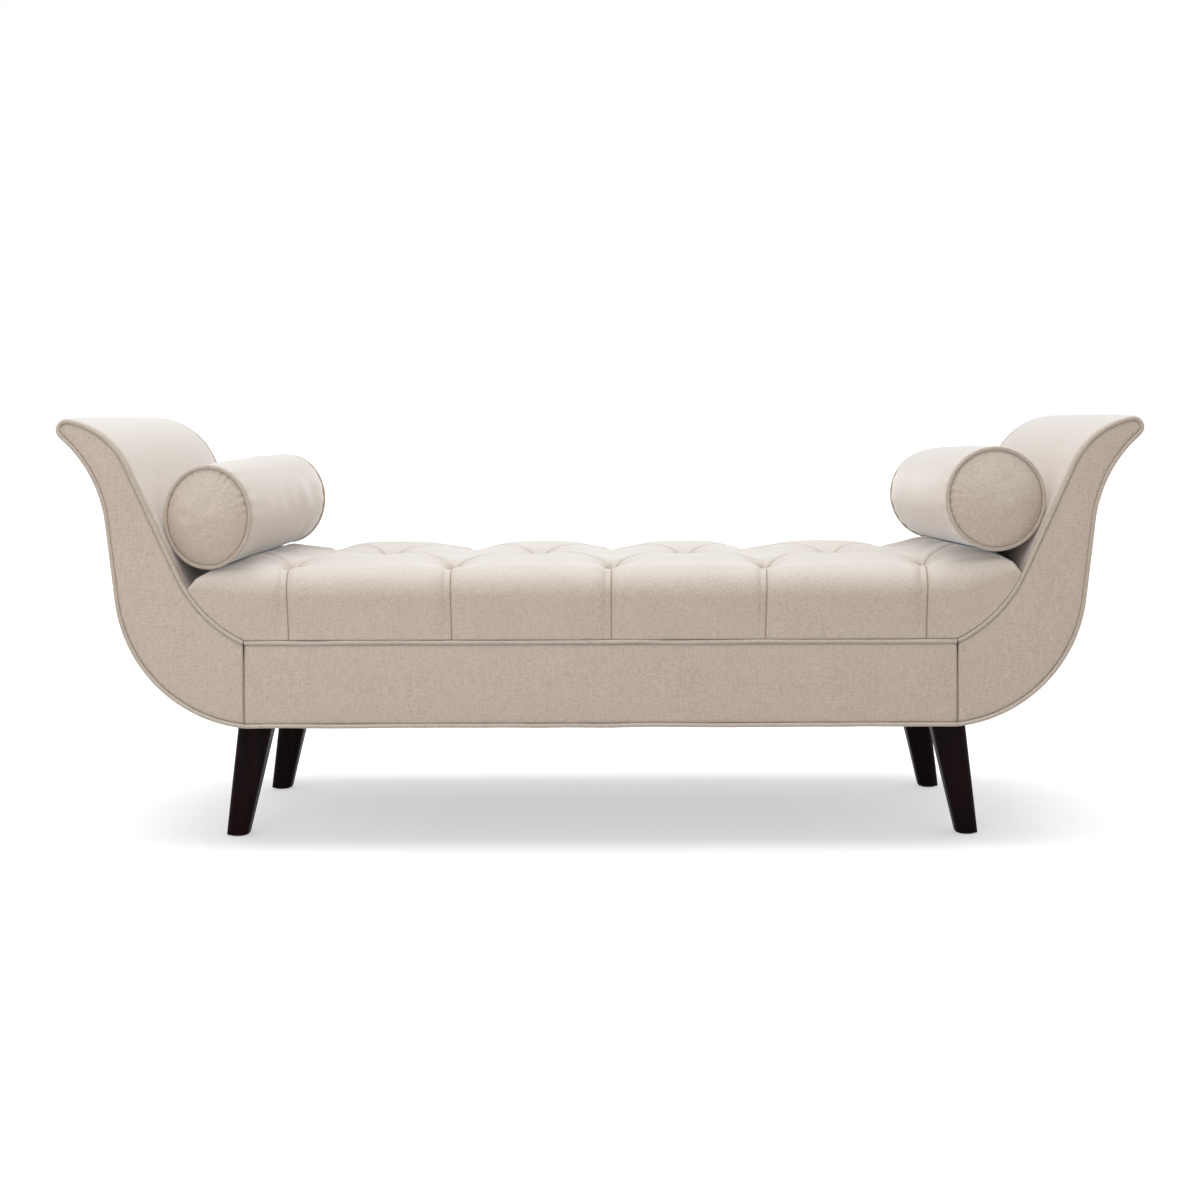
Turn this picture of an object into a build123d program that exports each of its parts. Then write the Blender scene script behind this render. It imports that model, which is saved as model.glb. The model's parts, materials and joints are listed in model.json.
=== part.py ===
"""Upholstered settee bench: scroll arms, a diamond-tufted seat, two loose bolsters and tapered legs.

Millimetres, +Z up. X runs along the bench, -Y is the front, and the origin is on the floor under the middle.
"""

import os
from math import asin, atan2, cos, hypot, pi, radians, sin, tan

from build123d import *

os.makedirs("parts", exist_ok=True)

# Overall sizes
overall_length = 1600.0
overall_depth = 535.0
overall_height = 635.0
base_height = 179.0  # floor to the underside of the body
rim_height = 308.0  # floor to the top of the welt between apron and seat
seat_height = 437.0  # floor to the crown of the seat
fit_gap = 0.3  # between pieces that lie against each other along curved faces

# Arm section seen from the front: its corners before rounding, then the rounding
arm_reach = 276.0  # from the seam beside the apron out to the tip of the arm
belly_in = 106.5  # lower outer corner, in from the tip
belly_up = 17.0  # and up from the underside
flare_in = 63.0  # outer corner below the flare, in from the tip
flare_down = 84.0  # and down from the top
shoulder_in = 81.0  # inner corner at the top, in from the tip
shoulder_down = 15.0  # and down from the top
hollow_out = 66.0  # inner corner beside the seat, out from the seam
hollow_up = 33.0  # and up from the rim
belly_radius = 215.0
flare_radius = 200.0
nose_radius = 16.0
shoulder_radius = 120.0
hollow_radius = 205.0
seam_run = 56.0  # the outline runs on past the seam, where it is trimmed
core_nose_radius = 5.0  # rounding of the timber where its layers have used up the nose

# Upholstery layers
welt_diameter = 6.5
facing_recess = 2.0  # facing and apron lie this far behind the front of the welt
arm_pad_thickness = 20.0  # foam and fabric on the inside of the arm
arm_cover_thickness = 6.0  # board and fabric on the outside of the arm
arm_liner_thickness = 3.0  # bent plywood behind the inside pad

# Timber frame
frame_thickness = 25.0  # rails and arm panels
deck_thickness = 15.0
deck_drop = 6.0  # deck surface below the rim
arm_rail_thickness = 26.0
arm_rail_width = 44.0
top_rail_radius = 6.5  # round pole in the neck of the arm
top_rail_setback = 45.0  # its middle, from the crossing of the timber's nose lines
sill_height = 40.0
sill_lift = 14.0  # sill above the outside cover
block_length = 79.0  # corner block, in from the seam
block_behind_bolt = 31.5  # corner block, from the leg bolt towards the middle of the bench
block_height = 50.0
leg_margin = 5.5  # dust cover and corner block reach this far past the top of the leg
dust_cover_thickness = 1.2

# Tufted seat
tuft_end_inset = 46.0  # end tufts of the outer rows, in from the seams
tuft_shift = 13.0  # the rows lie this far to the right of the middle
tuft_row_inset = 85.0  # front and rear rows, in from the welted edges
tufts_per_outer_row = 5
tuft_depth = 32.0  # bottom of a tuft below the crown
tuft_mouth_radius = 60.0
pleat_rise = 17.0  # how much a pleat rises between two tufts
pleat_end_lift = 3.0  # end of a pleat above the bottom of the tuft
pleat_half_angle = 58.0
channel_depth = 5.0  # sewn channel down the front and rear of the seat
channel_half_width = 7.0
seat_shoulder_drop = 16.0  # front edge below the crown, before rounding
seat_shoulder_radius = 58.0
seat_crown_radius = 1500.0
seat_belly = 1.5  # fullest part of the front face, behind the front of the welt
seat_belly_up = 44.0  # height of that part above the rim
seat_end_slope = 18.0  # fall of the seat towards the arms, in degrees
seat_end_radius = 160.0
seat_end_margin = 6.0  # front view stands above the crown, which the side view cuts
foam_inset_x = 40.0  # foam core, in from the seams
foam_inset_y = 55.0  # and in from the front and rear
foam_thickness = 40.0

# Tuft ties
tie_radius = 1.2
tie_fit = 0.4
tie_knot_radius = 5.0
tie_knot_thickness = 3.0
tie_washer_radius = 12.0
tie_washer_thickness = 2.0

# Bolsters: the left one is pressed narrower and has settled deeper than the right one
bolster_length = 496.0  # over the welts
left_bolster_width = 133.0
right_bolster_width = 150.0
bolster_tallness = 156.0
left_bolster_rise = 52.0  # axis at its front end above the crown of the seat
right_bolster_rise = 76.0
left_bolster_turn = 2.6  # rear end further in than the front end, in degrees
right_bolster_turn = 0.8
left_bolster_tilt = -0.6  # rear end lower than the front end, in degrees
right_bolster_tilt = 1.6
bolster_welt_proud = 2.5
bolster_cover_thickness = 3.0
bolster_cap_crown = 11.0  # cap above the middle of its welt
bolster_cap_rings = (1.0, 0.8, 0.5, 0.2)  # sections of the crown, as shares of the cap's size

# Legs and their fixings
leg_inset_y = 102.0  # leg centre, in from the front and rear
leg_splay = 31.0  # foot further out than the top, along X
leg_top_width = 53.0
leg_top_rounding = 12.0
leg_foot_width = 33.0
leg_foot_rounding = 9.0
glide_radius = 12.5
glide_thickness = 2.5
glide_nail_radius = 2.0
glide_nail_length = 15.0
bolt_radius = 4.0
bolt_in_leg = 38.0
bolt_in_block = 46.0
bolt_fit = 0.05
tee_barrel_radius = 5.5
tee_barrel_length = 14.0
tee_flange_radius = 11.0
tee_flange_thickness = 1.5
block_hole_fit = 0.1

# Frame screws, driven from the front and rear faces of the frame
screw_length = 60.0
screw_radius = 2.2
screw_head_radius = 4.5
screw_head_height = 3.0
screw_fit = 0.1
screw_pair_spacing = 50.0

# Places worked out from the sizes above
half_length = overall_length / 2
half_depth = overall_depth / 2
seam_x = half_length - arm_reach
bottom_lap = leg_top_width / 2 + leg_margin
bottom_x = seam_x + bottom_lap
welt_radius = welt_diameter / 2
frame_y = half_depth - welt_diameter  # front of the timber, behind facing and apron
inner_y = frame_y - frame_thickness
deck_top = rim_height - deck_drop
rail_bottom = base_height + dust_cover_thickness
rail_top = deck_top - deck_thickness
rail_middle = (rail_bottom + rail_top) / 2
foam_top = deck_top + foam_thickness
tuft_z = seat_height - tuft_depth
tuft_row_y = half_depth - tuft_row_inset
tie_hole_radius = tie_radius + tie_fit
tuft_spacing = 2 * (seam_x - tuft_end_inset) / (tufts_per_outer_row - 1)
end_rail_x = seam_x - tuft_end_inset - tuft_spacing / 4  # midway between two tufts
cross_rail_x = end_rail_x - tuft_spacing
leg_y = half_depth - leg_inset_y
block_depth = inner_y - leg_y + block_behind_bolt
block_y = inner_y - block_depth / 2
bolster_width = {"left": left_bolster_width, "right": right_bolster_width}
bolster_rise = {"left": left_bolster_rise, "right": right_bolster_rise}
bolster_turn = {"left": radians(left_bolster_turn), "right": radians(right_bolster_turn)}
bolster_tilt = {"left": radians(left_bolster_tilt), "right": radians(right_bolster_tilt)}
outward = {"left": -1, "right": 1}


def save(part, name):
    part.label = name
    export_step(part, f"parts/{name}.step")


def mirrored(part, *planes):
    for plane in planes:
        with BuildPart() as copy:
            mirror(part, about=plane)
        part = copy.part
    return part


def save_right_and_left(right_part, name):
    save(right_part, f"right_{name}")
    save(mirrored(right_part, Plane.YZ), f"left_{name}")


def crossing(point_a, along_a, point_b, along_b):
    """Where two lines cross, each given by a point and a direction."""
    spread = along_a.X * along_b.Y - along_a.Y * along_b.X
    gap = point_b - point_a
    return point_a + along_a * ((gap.X * along_b.Y - gap.Y * along_b.X) / spread)


def arm_corners():
    """Corners of the right arm's section, from the underside round the tip to the seat rim."""
    under_seam = Vector(seam_x, base_height)
    belly = Vector(half_length - belly_in, base_height + belly_up)
    flare = Vector(half_length - flare_in, overall_height - flare_down)
    shoulder = Vector(half_length - shoulder_in, overall_height - shoulder_down)
    hollow = Vector(seam_x + hollow_out, rim_height + hollow_up)
    rim_seam = Vector(seam_x, rim_height)
    # The lines under and over the nose are tangent to its circle and cross beyond the tip
    nose = Vector(half_length - nose_radius, overall_height - nose_radius)
    below = nose - flare
    above = nose - shoulder
    below_heading = atan2(below.Y, below.X) - asin(nose_radius / below.length)
    above_heading = atan2(above.Y, above.X) + asin(nose_radius / above.length)
    apex = crossing(
        flare,
        Vector(cos(below_heading), sin(below_heading)),
        shoulder,
        Vector(cos(above_heading), sin(above_heading)),
    )
    # Both ends run on past the seam, where the section is trimmed
    start = under_seam - (belly - under_seam).normalized() * seam_run
    end = rim_seam - (hollow - rim_seam).normalized() * seam_run
    return [start, belly, flare, apex, shoulder, hollow, end]


def inset_corners(corners, insets):
    """The corners after each side of an open outline has moved to its left by its inset."""
    along = [(b - a).normalized() for a, b in zip(corners, corners[1:])]
    moved = [a + Vector(-d.Y, d.X) * inset for a, d, inset in zip(corners, along, insets)]
    middle = [crossing(moved[i], along[i], moved[i + 1], along[i + 1]) for i in range(len(along) - 1)]
    last = corners[-1] + Vector(-along[-1].Y, along[-1].X) * insets[-1]
    return [moved[0], *middle, last]


def fitted_radii(corners, radii):
    """Rounding radii, each limited by the straight sides that it has to fit between."""
    sides = [b - a for a, b in zip(corners, corners[1:])]
    half_turn = [tan(radians(a.get_angle(b)) / 2) for a, b in zip(sides, sides[1:])]
    runs = [r * t for r, t in zip(radii, half_turn)]
    share = [1.0] * len(runs)
    for i, side in enumerate(sides):
        ends = [k for k in (i - 1, i) if 0 <= k < len(runs)]
        room = 0.98 * side.length / max(sum(runs[k] for k in ends), 1e-6)
        for k in ends:
            share[k] = min(share[k], room)
    return [r * s for r, s in zip(radii, share)]


def arm_outline(inner_inset, outer_inset):
    """Corners and radii of the arm's section, parallel to its outside at the given insets."""
    corners = inset_corners(arm_corners(), [outer_inset] * 3 + [inner_inset] * 3)
    nose = max(nose_radius - max(inner_inset, outer_inset), core_nose_radius)
    radii = [
        belly_radius - outer_inset,
        flare_radius + outer_inset,
        nose,
        shoulder_radius - inner_inset,
        hollow_radius + inner_inset,
    ]
    return corners, fitted_radii(corners, radii)


def rounded_corner(corners, radii, i):
    """Middle of the rounding at one corner of an open outline."""
    before = (corners[i - 1] - corners[i]).normalized()
    after = (corners[i + 1] - corners[i]).normalized()
    half_opening = radians(before.get_angle(after)) / 2
    return corners[i] + (before + after).normalized() * radii[i - 1] * (1 / sin(half_opening) - 1)


def arm_section(inner_inset, outer_inset, trim_x, plane=Plane.XZ):
    """The right arm's section as a face, from trim_x outwards."""
    corners, radii = arm_outline(inner_inset, outer_inset)
    with BuildSketch(plane) as section:
        with BuildLine():
            outline = FilletPolyline(*corners, radius=radii)
            Line(outline @ 1, outline @ 0)
        make_face()
        with Locations((trim_x + overall_length / 2, overall_height / 2)):
            Rectangle(overall_length, 2 * overall_height, mode=Mode.INTERSECT)
    return section.sketch


def round_bar(path, radius):
    """A round cord along a path."""
    with BuildPart() as bar:
        with BuildSketch(Plane(origin=path @ 0, z_dir=path % 0)):
            Circle(radius)
        sweep(path=path)
    return bar.part


def box_between(low, high):
    """A block given by two opposite corners."""
    with BuildPart() as block:
        with Locations(tuple((a + b) / 2 for a, b in zip(low, high))):
            Box(*[b - a for a, b in zip(low, high)])
    return block.part


# Middle of the arm between its inside pad and its outside cover, for the rails inside it
core_corners, core_radii = arm_outline(arm_pad_thickness + fit_gap, arm_cover_thickness + fit_gap)
core_apex = core_corners[3]
core_belly, core_hollow = [rounded_corner(core_corners, core_radii, i) for i in (1, 5)]
nose_sides = [(core_corners[i] - core_apex).normalized() for i in (2, 4)]
arm_foot = (core_belly + core_hollow) / 2
arm_head = core_apex + (nose_sides[0] + nose_sides[1]).normalized() * top_rail_setback
arm_waist = (arm_foot + arm_head) / 2
arm_lean = (arm_head - arm_foot).get_angle(Vector(1, 0))
sill_x = bottom_x + arm_rail_thickness / 2
sill_bottom = base_height + belly_up + sill_lift
sill_z = sill_bottom + sill_height / 2

# Frame screws: one tool with a clearance cuts the holes that the screws then fit
screw_places = [
    (seam_x - block_length + screw_pair_spacing / 4, rail_bottom + block_height / 2),
    (seam_x - screw_pair_spacing / 2, rail_bottom + block_height / 2),
    (seam_x + bottom_lap / 2, rail_bottom + block_height / 2),
    (end_rail_x, rail_middle - screw_pair_spacing / 2),
    (end_rail_x, rail_middle + screw_pair_spacing / 2),
    (cross_rail_x, rail_middle - screw_pair_spacing / 2),
    (cross_rail_x, rail_middle + screw_pair_spacing / 2),
    (sill_x, sill_z),
    (arm_waist.X, arm_waist.Y),
    (arm_head.X, arm_head.Y),
]


def screw_set(fit):
    """Every frame screw, made larger by fit, with its head flush in the timber."""
    with BuildPart() as screws:
        with Locations([Plane.XZ.offset(frame_y).location * Pos(x, z) for x, z in screw_places]):
            Cylinder(screw_radius + fit, screw_length + fit, align=(Align.CENTER, Align.CENTER, Align.MAX))
            Cone(
                screw_radius + fit,
                screw_head_radius + fit,
                screw_head_height + fit,
                align=(Align.CENTER, Align.CENTER, Align.MAX),
            )
        mirror(about=Plane.YZ)
        mirror(about=Plane.XZ)
    return screws.part


frame_screws = screw_set(0)
screw_holes = screw_set(screw_fit)
save(frame_screws, "frame_screws")


def drilled(part):
    """A timber with its screw holes."""
    with BuildPart() as timber:
        add(part)
        add(screw_holes, mode=Mode.SUBTRACT)
    return timber.part


# Seat frame: rails, cross rails and corner blocks
front_rail = drilled(box_between((-seam_x, -frame_y, rail_bottom), (seam_x, -inner_y, rail_top)))
save(front_rail, "front_seat_rail")
save(mirrored(front_rail, Plane.XZ), "rear_seat_rail")
for rail_name, rail_x in {"end_rail": end_rail_x, "cross_rail": cross_rail_x}.items():
    low_corner = (rail_x - frame_thickness / 2, -inner_y, rail_bottom)
    high_corner = (rail_x + frame_thickness / 2, inner_y, rail_top)
    save_right_and_left(drilled(box_between(low_corner, high_corner)), rail_name)

with BuildPart() as corner_blocks:
    with Locations(((seam_x - block_length + bottom_x) / 2, -block_y, rail_bottom + block_height / 2)):
        Box(block_length + bottom_lap, block_depth, block_height)
    with Locations((seam_x, -leg_y, rail_bottom + block_height / 2)):
        Cylinder(tee_barrel_radius + block_hole_fit, block_height, mode=Mode.SUBTRACT)
    add(screw_holes, mode=Mode.SUBTRACT)
    mirror(about=Plane.YZ)
    mirror(about=Plane.XZ)
save(corner_blocks.part, "corner_blocks")

# Tuft places: full rows at the front and rear, and a row between them shifted by half a space
first_tuft_x = tuft_shift - seam_x + tuft_end_inset
outer_row_x = [first_tuft_x + i * tuft_spacing for i in range(tufts_per_outer_row)]
middle_row_x = [x + tuft_spacing / 2 for x in outer_row_x[:-1]]
tuft_places = [(x, y) for y in (-tuft_row_y, tuft_row_y) for x in outer_row_x]
tuft_places += [(x, 0) for x in middle_row_x]

with BuildPart() as seat_deck:
    with Locations((0, 0, deck_top - deck_thickness / 2)):
        Box(2 * seam_x, 2 * frame_y, deck_thickness)
    with Locations([(x, y, deck_top) for x, y in tuft_places]):
        Hole(tie_hole_radius)
save(seat_deck.part, "seat_deck")

foam_high = (seam_x - foam_inset_x, half_depth - foam_inset_y, foam_top)
foam_block = box_between((-foam_high[0], -foam_high[1], deck_top), foam_high)
with BuildPart() as seat_foam:
    add(foam_block)
    with Locations([(x, y, foam_top) for x, y in tuft_places]):
        Hole(tie_hole_radius)
save(seat_foam.part, "seat_foam")

# Arms: timber panels and rails, padding, covers and facings
front_of_frame = Plane.XZ.offset(frame_y)
with BuildPart() as arm_panel:
    extrude(
        arm_section(arm_pad_thickness + fit_gap, arm_cover_thickness + fit_gap, seam_x, front_of_frame),
        amount=-frame_thickness,
    )
    add(screw_holes, mode=Mode.SUBTRACT)
save_right_and_left(arm_panel.part, "arm_front_panel")
save_right_and_left(mirrored(arm_panel.part, Plane.XZ), "arm_rear_panel")

with BuildPart() as arm_middle_rail:
    with BuildSketch(Plane.XZ):
        with Locations((arm_waist.X, arm_waist.Y)):
            Rectangle(arm_rail_width, arm_rail_thickness, rotation=arm_lean)
    extrude(amount=inner_y, both=True)
    add(screw_holes, mode=Mode.SUBTRACT)
save_right_and_left(arm_middle_rail.part, "arm_middle_rail")

with BuildPart() as arm_top_rail:
    with BuildSketch(Plane.XZ):
        with Locations((arm_head.X, arm_head.Y)):
            Circle(top_rail_radius)
    extrude(amount=inner_y, both=True)
    add(screw_holes, mode=Mode.SUBTRACT)
save_right_and_left(arm_top_rail.part, "arm_top_rail")

sill_low = (bottom_x, -inner_y, sill_bottom)
sill_high = (bottom_x + arm_rail_thickness, inner_y, sill_bottom + sill_height)
save_right_and_left(drilled(box_between(sill_low, sill_high)), "arm_sill_rail")

# The layers round an arm are rings between two outlines, parted along the middle of the arm at its tip
with BuildSketch(Plane.XZ) as inside_half:
    with BuildLine():
        Polyline(
            (0, 2 * overall_height),
            (0, arm_foot.Y),
            (arm_foot.X, arm_foot.Y),
            (arm_head.X, arm_head.Y),
            (core_apex.X, core_apex.Y),
            (half_length - nose_radius, overall_height - nose_radius),
            (overall_length, overall_height - nose_radius),
            (overall_length, 2 * overall_height),
            close=True,
        )
    make_face()

with BuildPart() as arm_inside_pad:
    with BuildSketch(Plane.XZ):
        add(arm_section(0, 0, seam_x))
        add(arm_section(arm_pad_thickness, arm_cover_thickness, 0), mode=Mode.SUBTRACT)
        add(inside_half.sketch, mode=Mode.INTERSECT)
    extrude(amount=frame_y, both=True)
save_right_and_left(arm_inside_pad.part, "arm_inside_pad")

with BuildPart() as arm_outside_cover:
    with BuildSketch(Plane.XZ):
        add(arm_section(0, 0, bottom_x + fit_gap))
        add(arm_section(arm_pad_thickness, arm_cover_thickness, 0), mode=Mode.SUBTRACT)
        add(inside_half.sketch, mode=Mode.SUBTRACT)
    extrude(amount=frame_y, both=True)
save_right_and_left(arm_outside_cover.part, "arm_outside_cover")

# The liner bends up the inside of the arm as far as the top rail
liner_inset = arm_pad_thickness + fit_gap
with BuildPart() as arm_liner:
    with BuildSketch(Plane.XZ):
        add(arm_section(liner_inset, arm_cover_thickness + fit_gap, seam_x))
        add(
            arm_section(liner_inset + arm_liner_thickness, arm_cover_thickness + fit_gap, 0),
            mode=Mode.SUBTRACT,
        )
        add(inside_half.sketch, mode=Mode.INTERSECT)
    extrude(amount=inner_y, both=True)
    split(bisect_by=Plane.YZ.offset(arm_head.X - top_rail_radius - fit_gap), keep=Keep.BOTTOM)
save_right_and_left(arm_liner.part, "arm_liner")

facing_inset = welt_diameter + fit_gap
with BuildPart() as arm_facing:
    extrude(
        arm_section(facing_inset, facing_inset, seam_x, front_of_frame),
        amount=welt_diameter - facing_recess,
    )
save_right_and_left(arm_facing.part, "arm_front_facing")
save_right_and_left(mirrored(arm_facing.part, Plane.XZ), "arm_rear_facing")

welt_corners, welt_radii = arm_outline(welt_radius, welt_radius)
with BuildLine() as arm_welt_path:
    FilletPolyline(*welt_corners, radius=welt_radii)
welt_plane = Plane.XZ.offset(half_depth - welt_radius)
with BuildPart() as arm_welt:
    add(round_bar(arm_welt_path.wire().moved(welt_plane.location), welt_radius))
    split(bisect_by=Plane.YZ.offset(seam_x), keep=Keep.TOP)
save_right_and_left(arm_welt.part, "arm_front_welt")
save_right_and_left(mirrored(arm_welt.part, Plane.XZ), "arm_rear_welt")

# Aprons and their welts, between the arms
apron_low = (-seam_x, -half_depth + facing_recess, base_height + facing_inset)
apron_high = (seam_x, -frame_y, rim_height - facing_inset)
front_apron = box_between(apron_low, apron_high)
save(front_apron, "front_apron")
save(mirrored(front_apron, Plane.XZ), "rear_apron")
for welt_name, welt_z in {"rim_welt": rim_height - welt_radius, "hem_welt": base_height + welt_radius}.items():
    with BuildLine() as welt_path:
        Line((-seam_x, -half_depth + welt_radius, welt_z), (seam_x, -half_depth + welt_radius, welt_z))
    straight_welt = round_bar(welt_path.wire(), welt_radius)
    save(straight_welt, f"front_{welt_name}")
    save(mirrored(straight_welt, Plane.XZ), f"rear_{welt_name}")

with BuildPart() as dust_cover:
    with Locations((0, 0, base_height + dust_cover_thickness / 2)):
        Box(2 * bottom_x, 2 * (frame_y - fit_gap), dust_cover_thickness)
    with Locations([(x, y, base_height) for x in (-seam_x, seam_x) for y in (-leg_y, leg_y)]):
        Cylinder(tee_barrel_radius, 2 * dust_cover_thickness, mode=Mode.SUBTRACT)
save(dust_cover.part, "dust_cover")

# Bolster places: each one leans on the straight inside of its arm, and the seat falls away just below it
inside_line = (arm_corners()[4] - arm_corners()[5]).normalized()


def reach(half_width, half_height, nx, nz):
    """How far an oval reaches from its middle in the direction (nx, nz)."""
    return hypot(half_width * nx, half_height * nz)


def bolster_front(side):
    """Front end of a bolster's axis as X out from the middle of the bench, and Z."""
    half_width = bolster_width[side] / 2
    away = reach(half_width, bolster_tallness / 2, inside_line.Y, inside_line.X) + fit_gap
    hollow = arm_corners()[5] + Vector(-inside_line.Y, inside_line.X) * away
    height = seat_height + bolster_rise[side]
    return crossing(hollow, inside_line, Vector(0, height), Vector(1, 0))


def seat_end(side):
    """A point on the seat's falling end, just under the bolster, as X outwards and Z."""
    slope = radians(seat_end_slope)
    below = reach(bolster_width[side] / 2, bolster_tallness / 2, sin(slope), cos(slope)) + fit_gap
    return bolster_front(side) - Vector(sin(slope), cos(slope)) * below


def bolster_plane(side):
    """Middle plane of a bolster, across its axis, facing the front."""
    front = bolster_front(side)
    turn = bolster_turn[side]
    tilt = bolster_tilt[side]
    out = outward[side]
    forward = Vector(out * sin(turn) * cos(tilt), -cos(turn) * cos(tilt), sin(tilt))
    middle = Vector(out * front.X, 0, front.Y) - forward * bolster_length / 2
    return Plane(
        origin=(middle.X, 0, middle.Z),
        x_dir=(cos(turn), out * sin(turn), 0),
        z_dir=forward,
    )


def seat_end_corners(side):
    """The two corners of the seat's end, seen from the front: at the crown, and out inside the arm."""
    crown_z = seat_height + seat_end_margin
    touch = seat_end(side)
    fall = tan(radians(seat_end_slope))
    outer_x = seam_x + 2 * hollow_out
    at_crown = Vector(touch.X - (crown_z - touch.Y) / fall, crown_z)
    in_arm = Vector(outer_x, touch.Y - (outer_x - touch.X) * fall)
    return at_crown, in_arm


# One pleat cutter along X, a wedge turned about an axis below the seat so that it is deepest at the tufts
pleat_half = hypot(tuft_spacing / 2, tuft_row_y) / 2
pleat_turn_radius = (pleat_half**2 + pleat_rise**2) / (2 * pleat_rise)
pleat_axis_z = tuft_z + pleat_end_lift + pleat_rise - pleat_turn_radius
pleat_half_turn = asin(pleat_half / pleat_turn_radius)
wedge_width = tuft_depth * tan(radians(pleat_half_angle))
pleat_start = Plane(
    origin=(0, 0, pleat_axis_z),
    x_dir=(0, 1, 0),
    z_dir=(cos(pleat_half_turn), 0, sin(pleat_half_turn)),
)
with BuildPart() as pleat_cutter:
    with BuildSketch(pleat_start):
        with BuildLine():
            Polyline(
                (0, pleat_turn_radius),
                (wedge_width, pleat_turn_radius + tuft_depth),
                (-wedge_width, pleat_turn_radius + tuft_depth),
                close=True,
            )
        make_face()
    revolve(axis=Axis((0, 0, pleat_axis_z), (0, 1, 0)), revolution_arc=2 * pleat_half_turn * 180 / pi)

# Every tuft of the outer rows has a pleat to each side, towards the middle row
pleat_heading = atan2(tuft_row_y, tuft_spacing / 2) * 180 / pi
pleat_locations = []
for row_side in (-1, 1):
    for x in outer_row_x:
        for pleat_side in (-1, 1):
            middle = (x + pleat_side * tuft_spacing / 4, row_side * tuft_row_y / 2, 0)
            pleat_locations.append(Location(middle, (0, 0, -row_side * pleat_side * pleat_heading)))

right_crown, right_outer = seat_end_corners("right")
left_crown, left_outer = seat_end_corners("left")
front_view = [
    (-left_outer.X, deck_top),
    (right_outer.X, deck_top),
    (right_outer.X, right_outer.Y),
    (right_crown.X, right_crown.Y),
    (-left_crown.X, left_crown.Y),
    (-left_outer.X, left_outer.Y),
]
foot_y = frame_y - fit_gap
lip_y = half_depth - facing_recess - welt_radius
belly_y = half_depth - seat_belly
lip_z = rim_height + fit_gap
shoulder_z = seat_height - seat_shoulder_drop
half_side_view = [
    (foot_y, deck_top),
    (foot_y, lip_z),
    (lip_y, lip_z),
    (belly_y, rim_height + seat_belly_up),
    (belly_y, shoulder_z),
]
side_view = [*half_side_view, (0, seat_height), *[(-y, z) for y, z in reversed(half_side_view)]]
half_side_radii = [0, 0, seat_belly_up, seat_shoulder_radius]
side_radii = [*half_side_radii, seat_crown_radius, *reversed(half_side_radii)]
side_radii = fitted_radii([Vector(*corner) for corner in side_view], side_radii)

with BuildPart() as seat_pad:
    with BuildSketch(Plane.XZ):
        with BuildLine():
            FilletPolyline(*front_view, radius=[0, 0, 0, seat_end_radius, seat_end_radius, 0], close=True)
        make_face()
        beside_arm = arm_section(-fit_gap, -fit_gap, seam_x - fit_gap)
        add(beside_arm, mode=Mode.SUBTRACT)
        mirror(beside_arm, about=Plane.YZ, mode=Mode.SUBTRACT)
    extrude(amount=half_depth, both=True)
    with BuildSketch(Plane.YZ):
        with BuildLine():
            FilletPolyline(*side_view, radius=[0, *side_radii, 0], close=True)
        make_face()
    extrude(amount=half_length, both=True, mode=Mode.INTERSECT)
    # The bolsters press into the ends of the seat
    for side in outward:
        with BuildSketch(bolster_plane(side)):
            Ellipse(bolster_width[side] / 2 + fit_gap, bolster_tallness / 2 + fit_gap)
        extrude(amount=overall_depth, both=True, mode=Mode.SUBTRACT)
    with Locations([(x, y, tuft_z + tuft_mouth_radius) for x, y in tuft_places]):
        Sphere(tuft_mouth_radius, mode=Mode.SUBTRACT)
    with Locations(*pleat_locations):
        add(pleat_cutter.part, mode=Mode.SUBTRACT)
    with BuildSketch(Plane.XY.offset(lip_z)):
        for x in outer_row_x:
            for side in (-1, 1):
                with BuildLine():
                    Polyline(
                        (x, side * (belly_y - channel_depth)),
                        (x - channel_half_width, side * half_depth),
                        (x + channel_half_width, side * half_depth),
                        close=True,
                    )
                make_face()
    extrude(amount=seat_height - lip_z, mode=Mode.SUBTRACT)
    add(foam_block, mode=Mode.SUBTRACT)
    with Locations([(x, y, seat_height) for x, y in tuft_places]):
        Hole(tie_hole_radius)
save(seat_pad.part, "seat_pad")

# Tuft ties: a twine through seat and deck, knotted in the tuft and under a washer
washer_bottom = rail_top - tie_washer_thickness
with BuildPart() as tuft_ties:
    with Locations([(x, y, washer_bottom) for x, y in tuft_places]):
        Cylinder(tie_radius, tuft_z + fit_gap - washer_bottom, align=(Align.CENTER, Align.CENTER, Align.MIN))
        Cylinder(tie_knot_radius, tie_knot_thickness, align=(Align.CENTER, Align.CENTER, Align.MAX))
    with Locations([(x, y, tuft_z + fit_gap) for x, y in tuft_places]):
        Cylinder(tie_knot_radius, tie_knot_thickness, align=(Align.CENTER, Align.CENTER, Align.MIN))
save(tuft_ties.part, "tuft_ties")

with BuildPart() as tuft_washers:
    with Locations([(x, y, rail_top) for x, y in tuft_places]):
        Cylinder(tie_washer_radius, tie_washer_thickness, align=(Align.CENTER, Align.CENTER, Align.MAX))
        Hole(tie_hole_radius)
save(tuft_washers.part, "tuft_washers")

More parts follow.
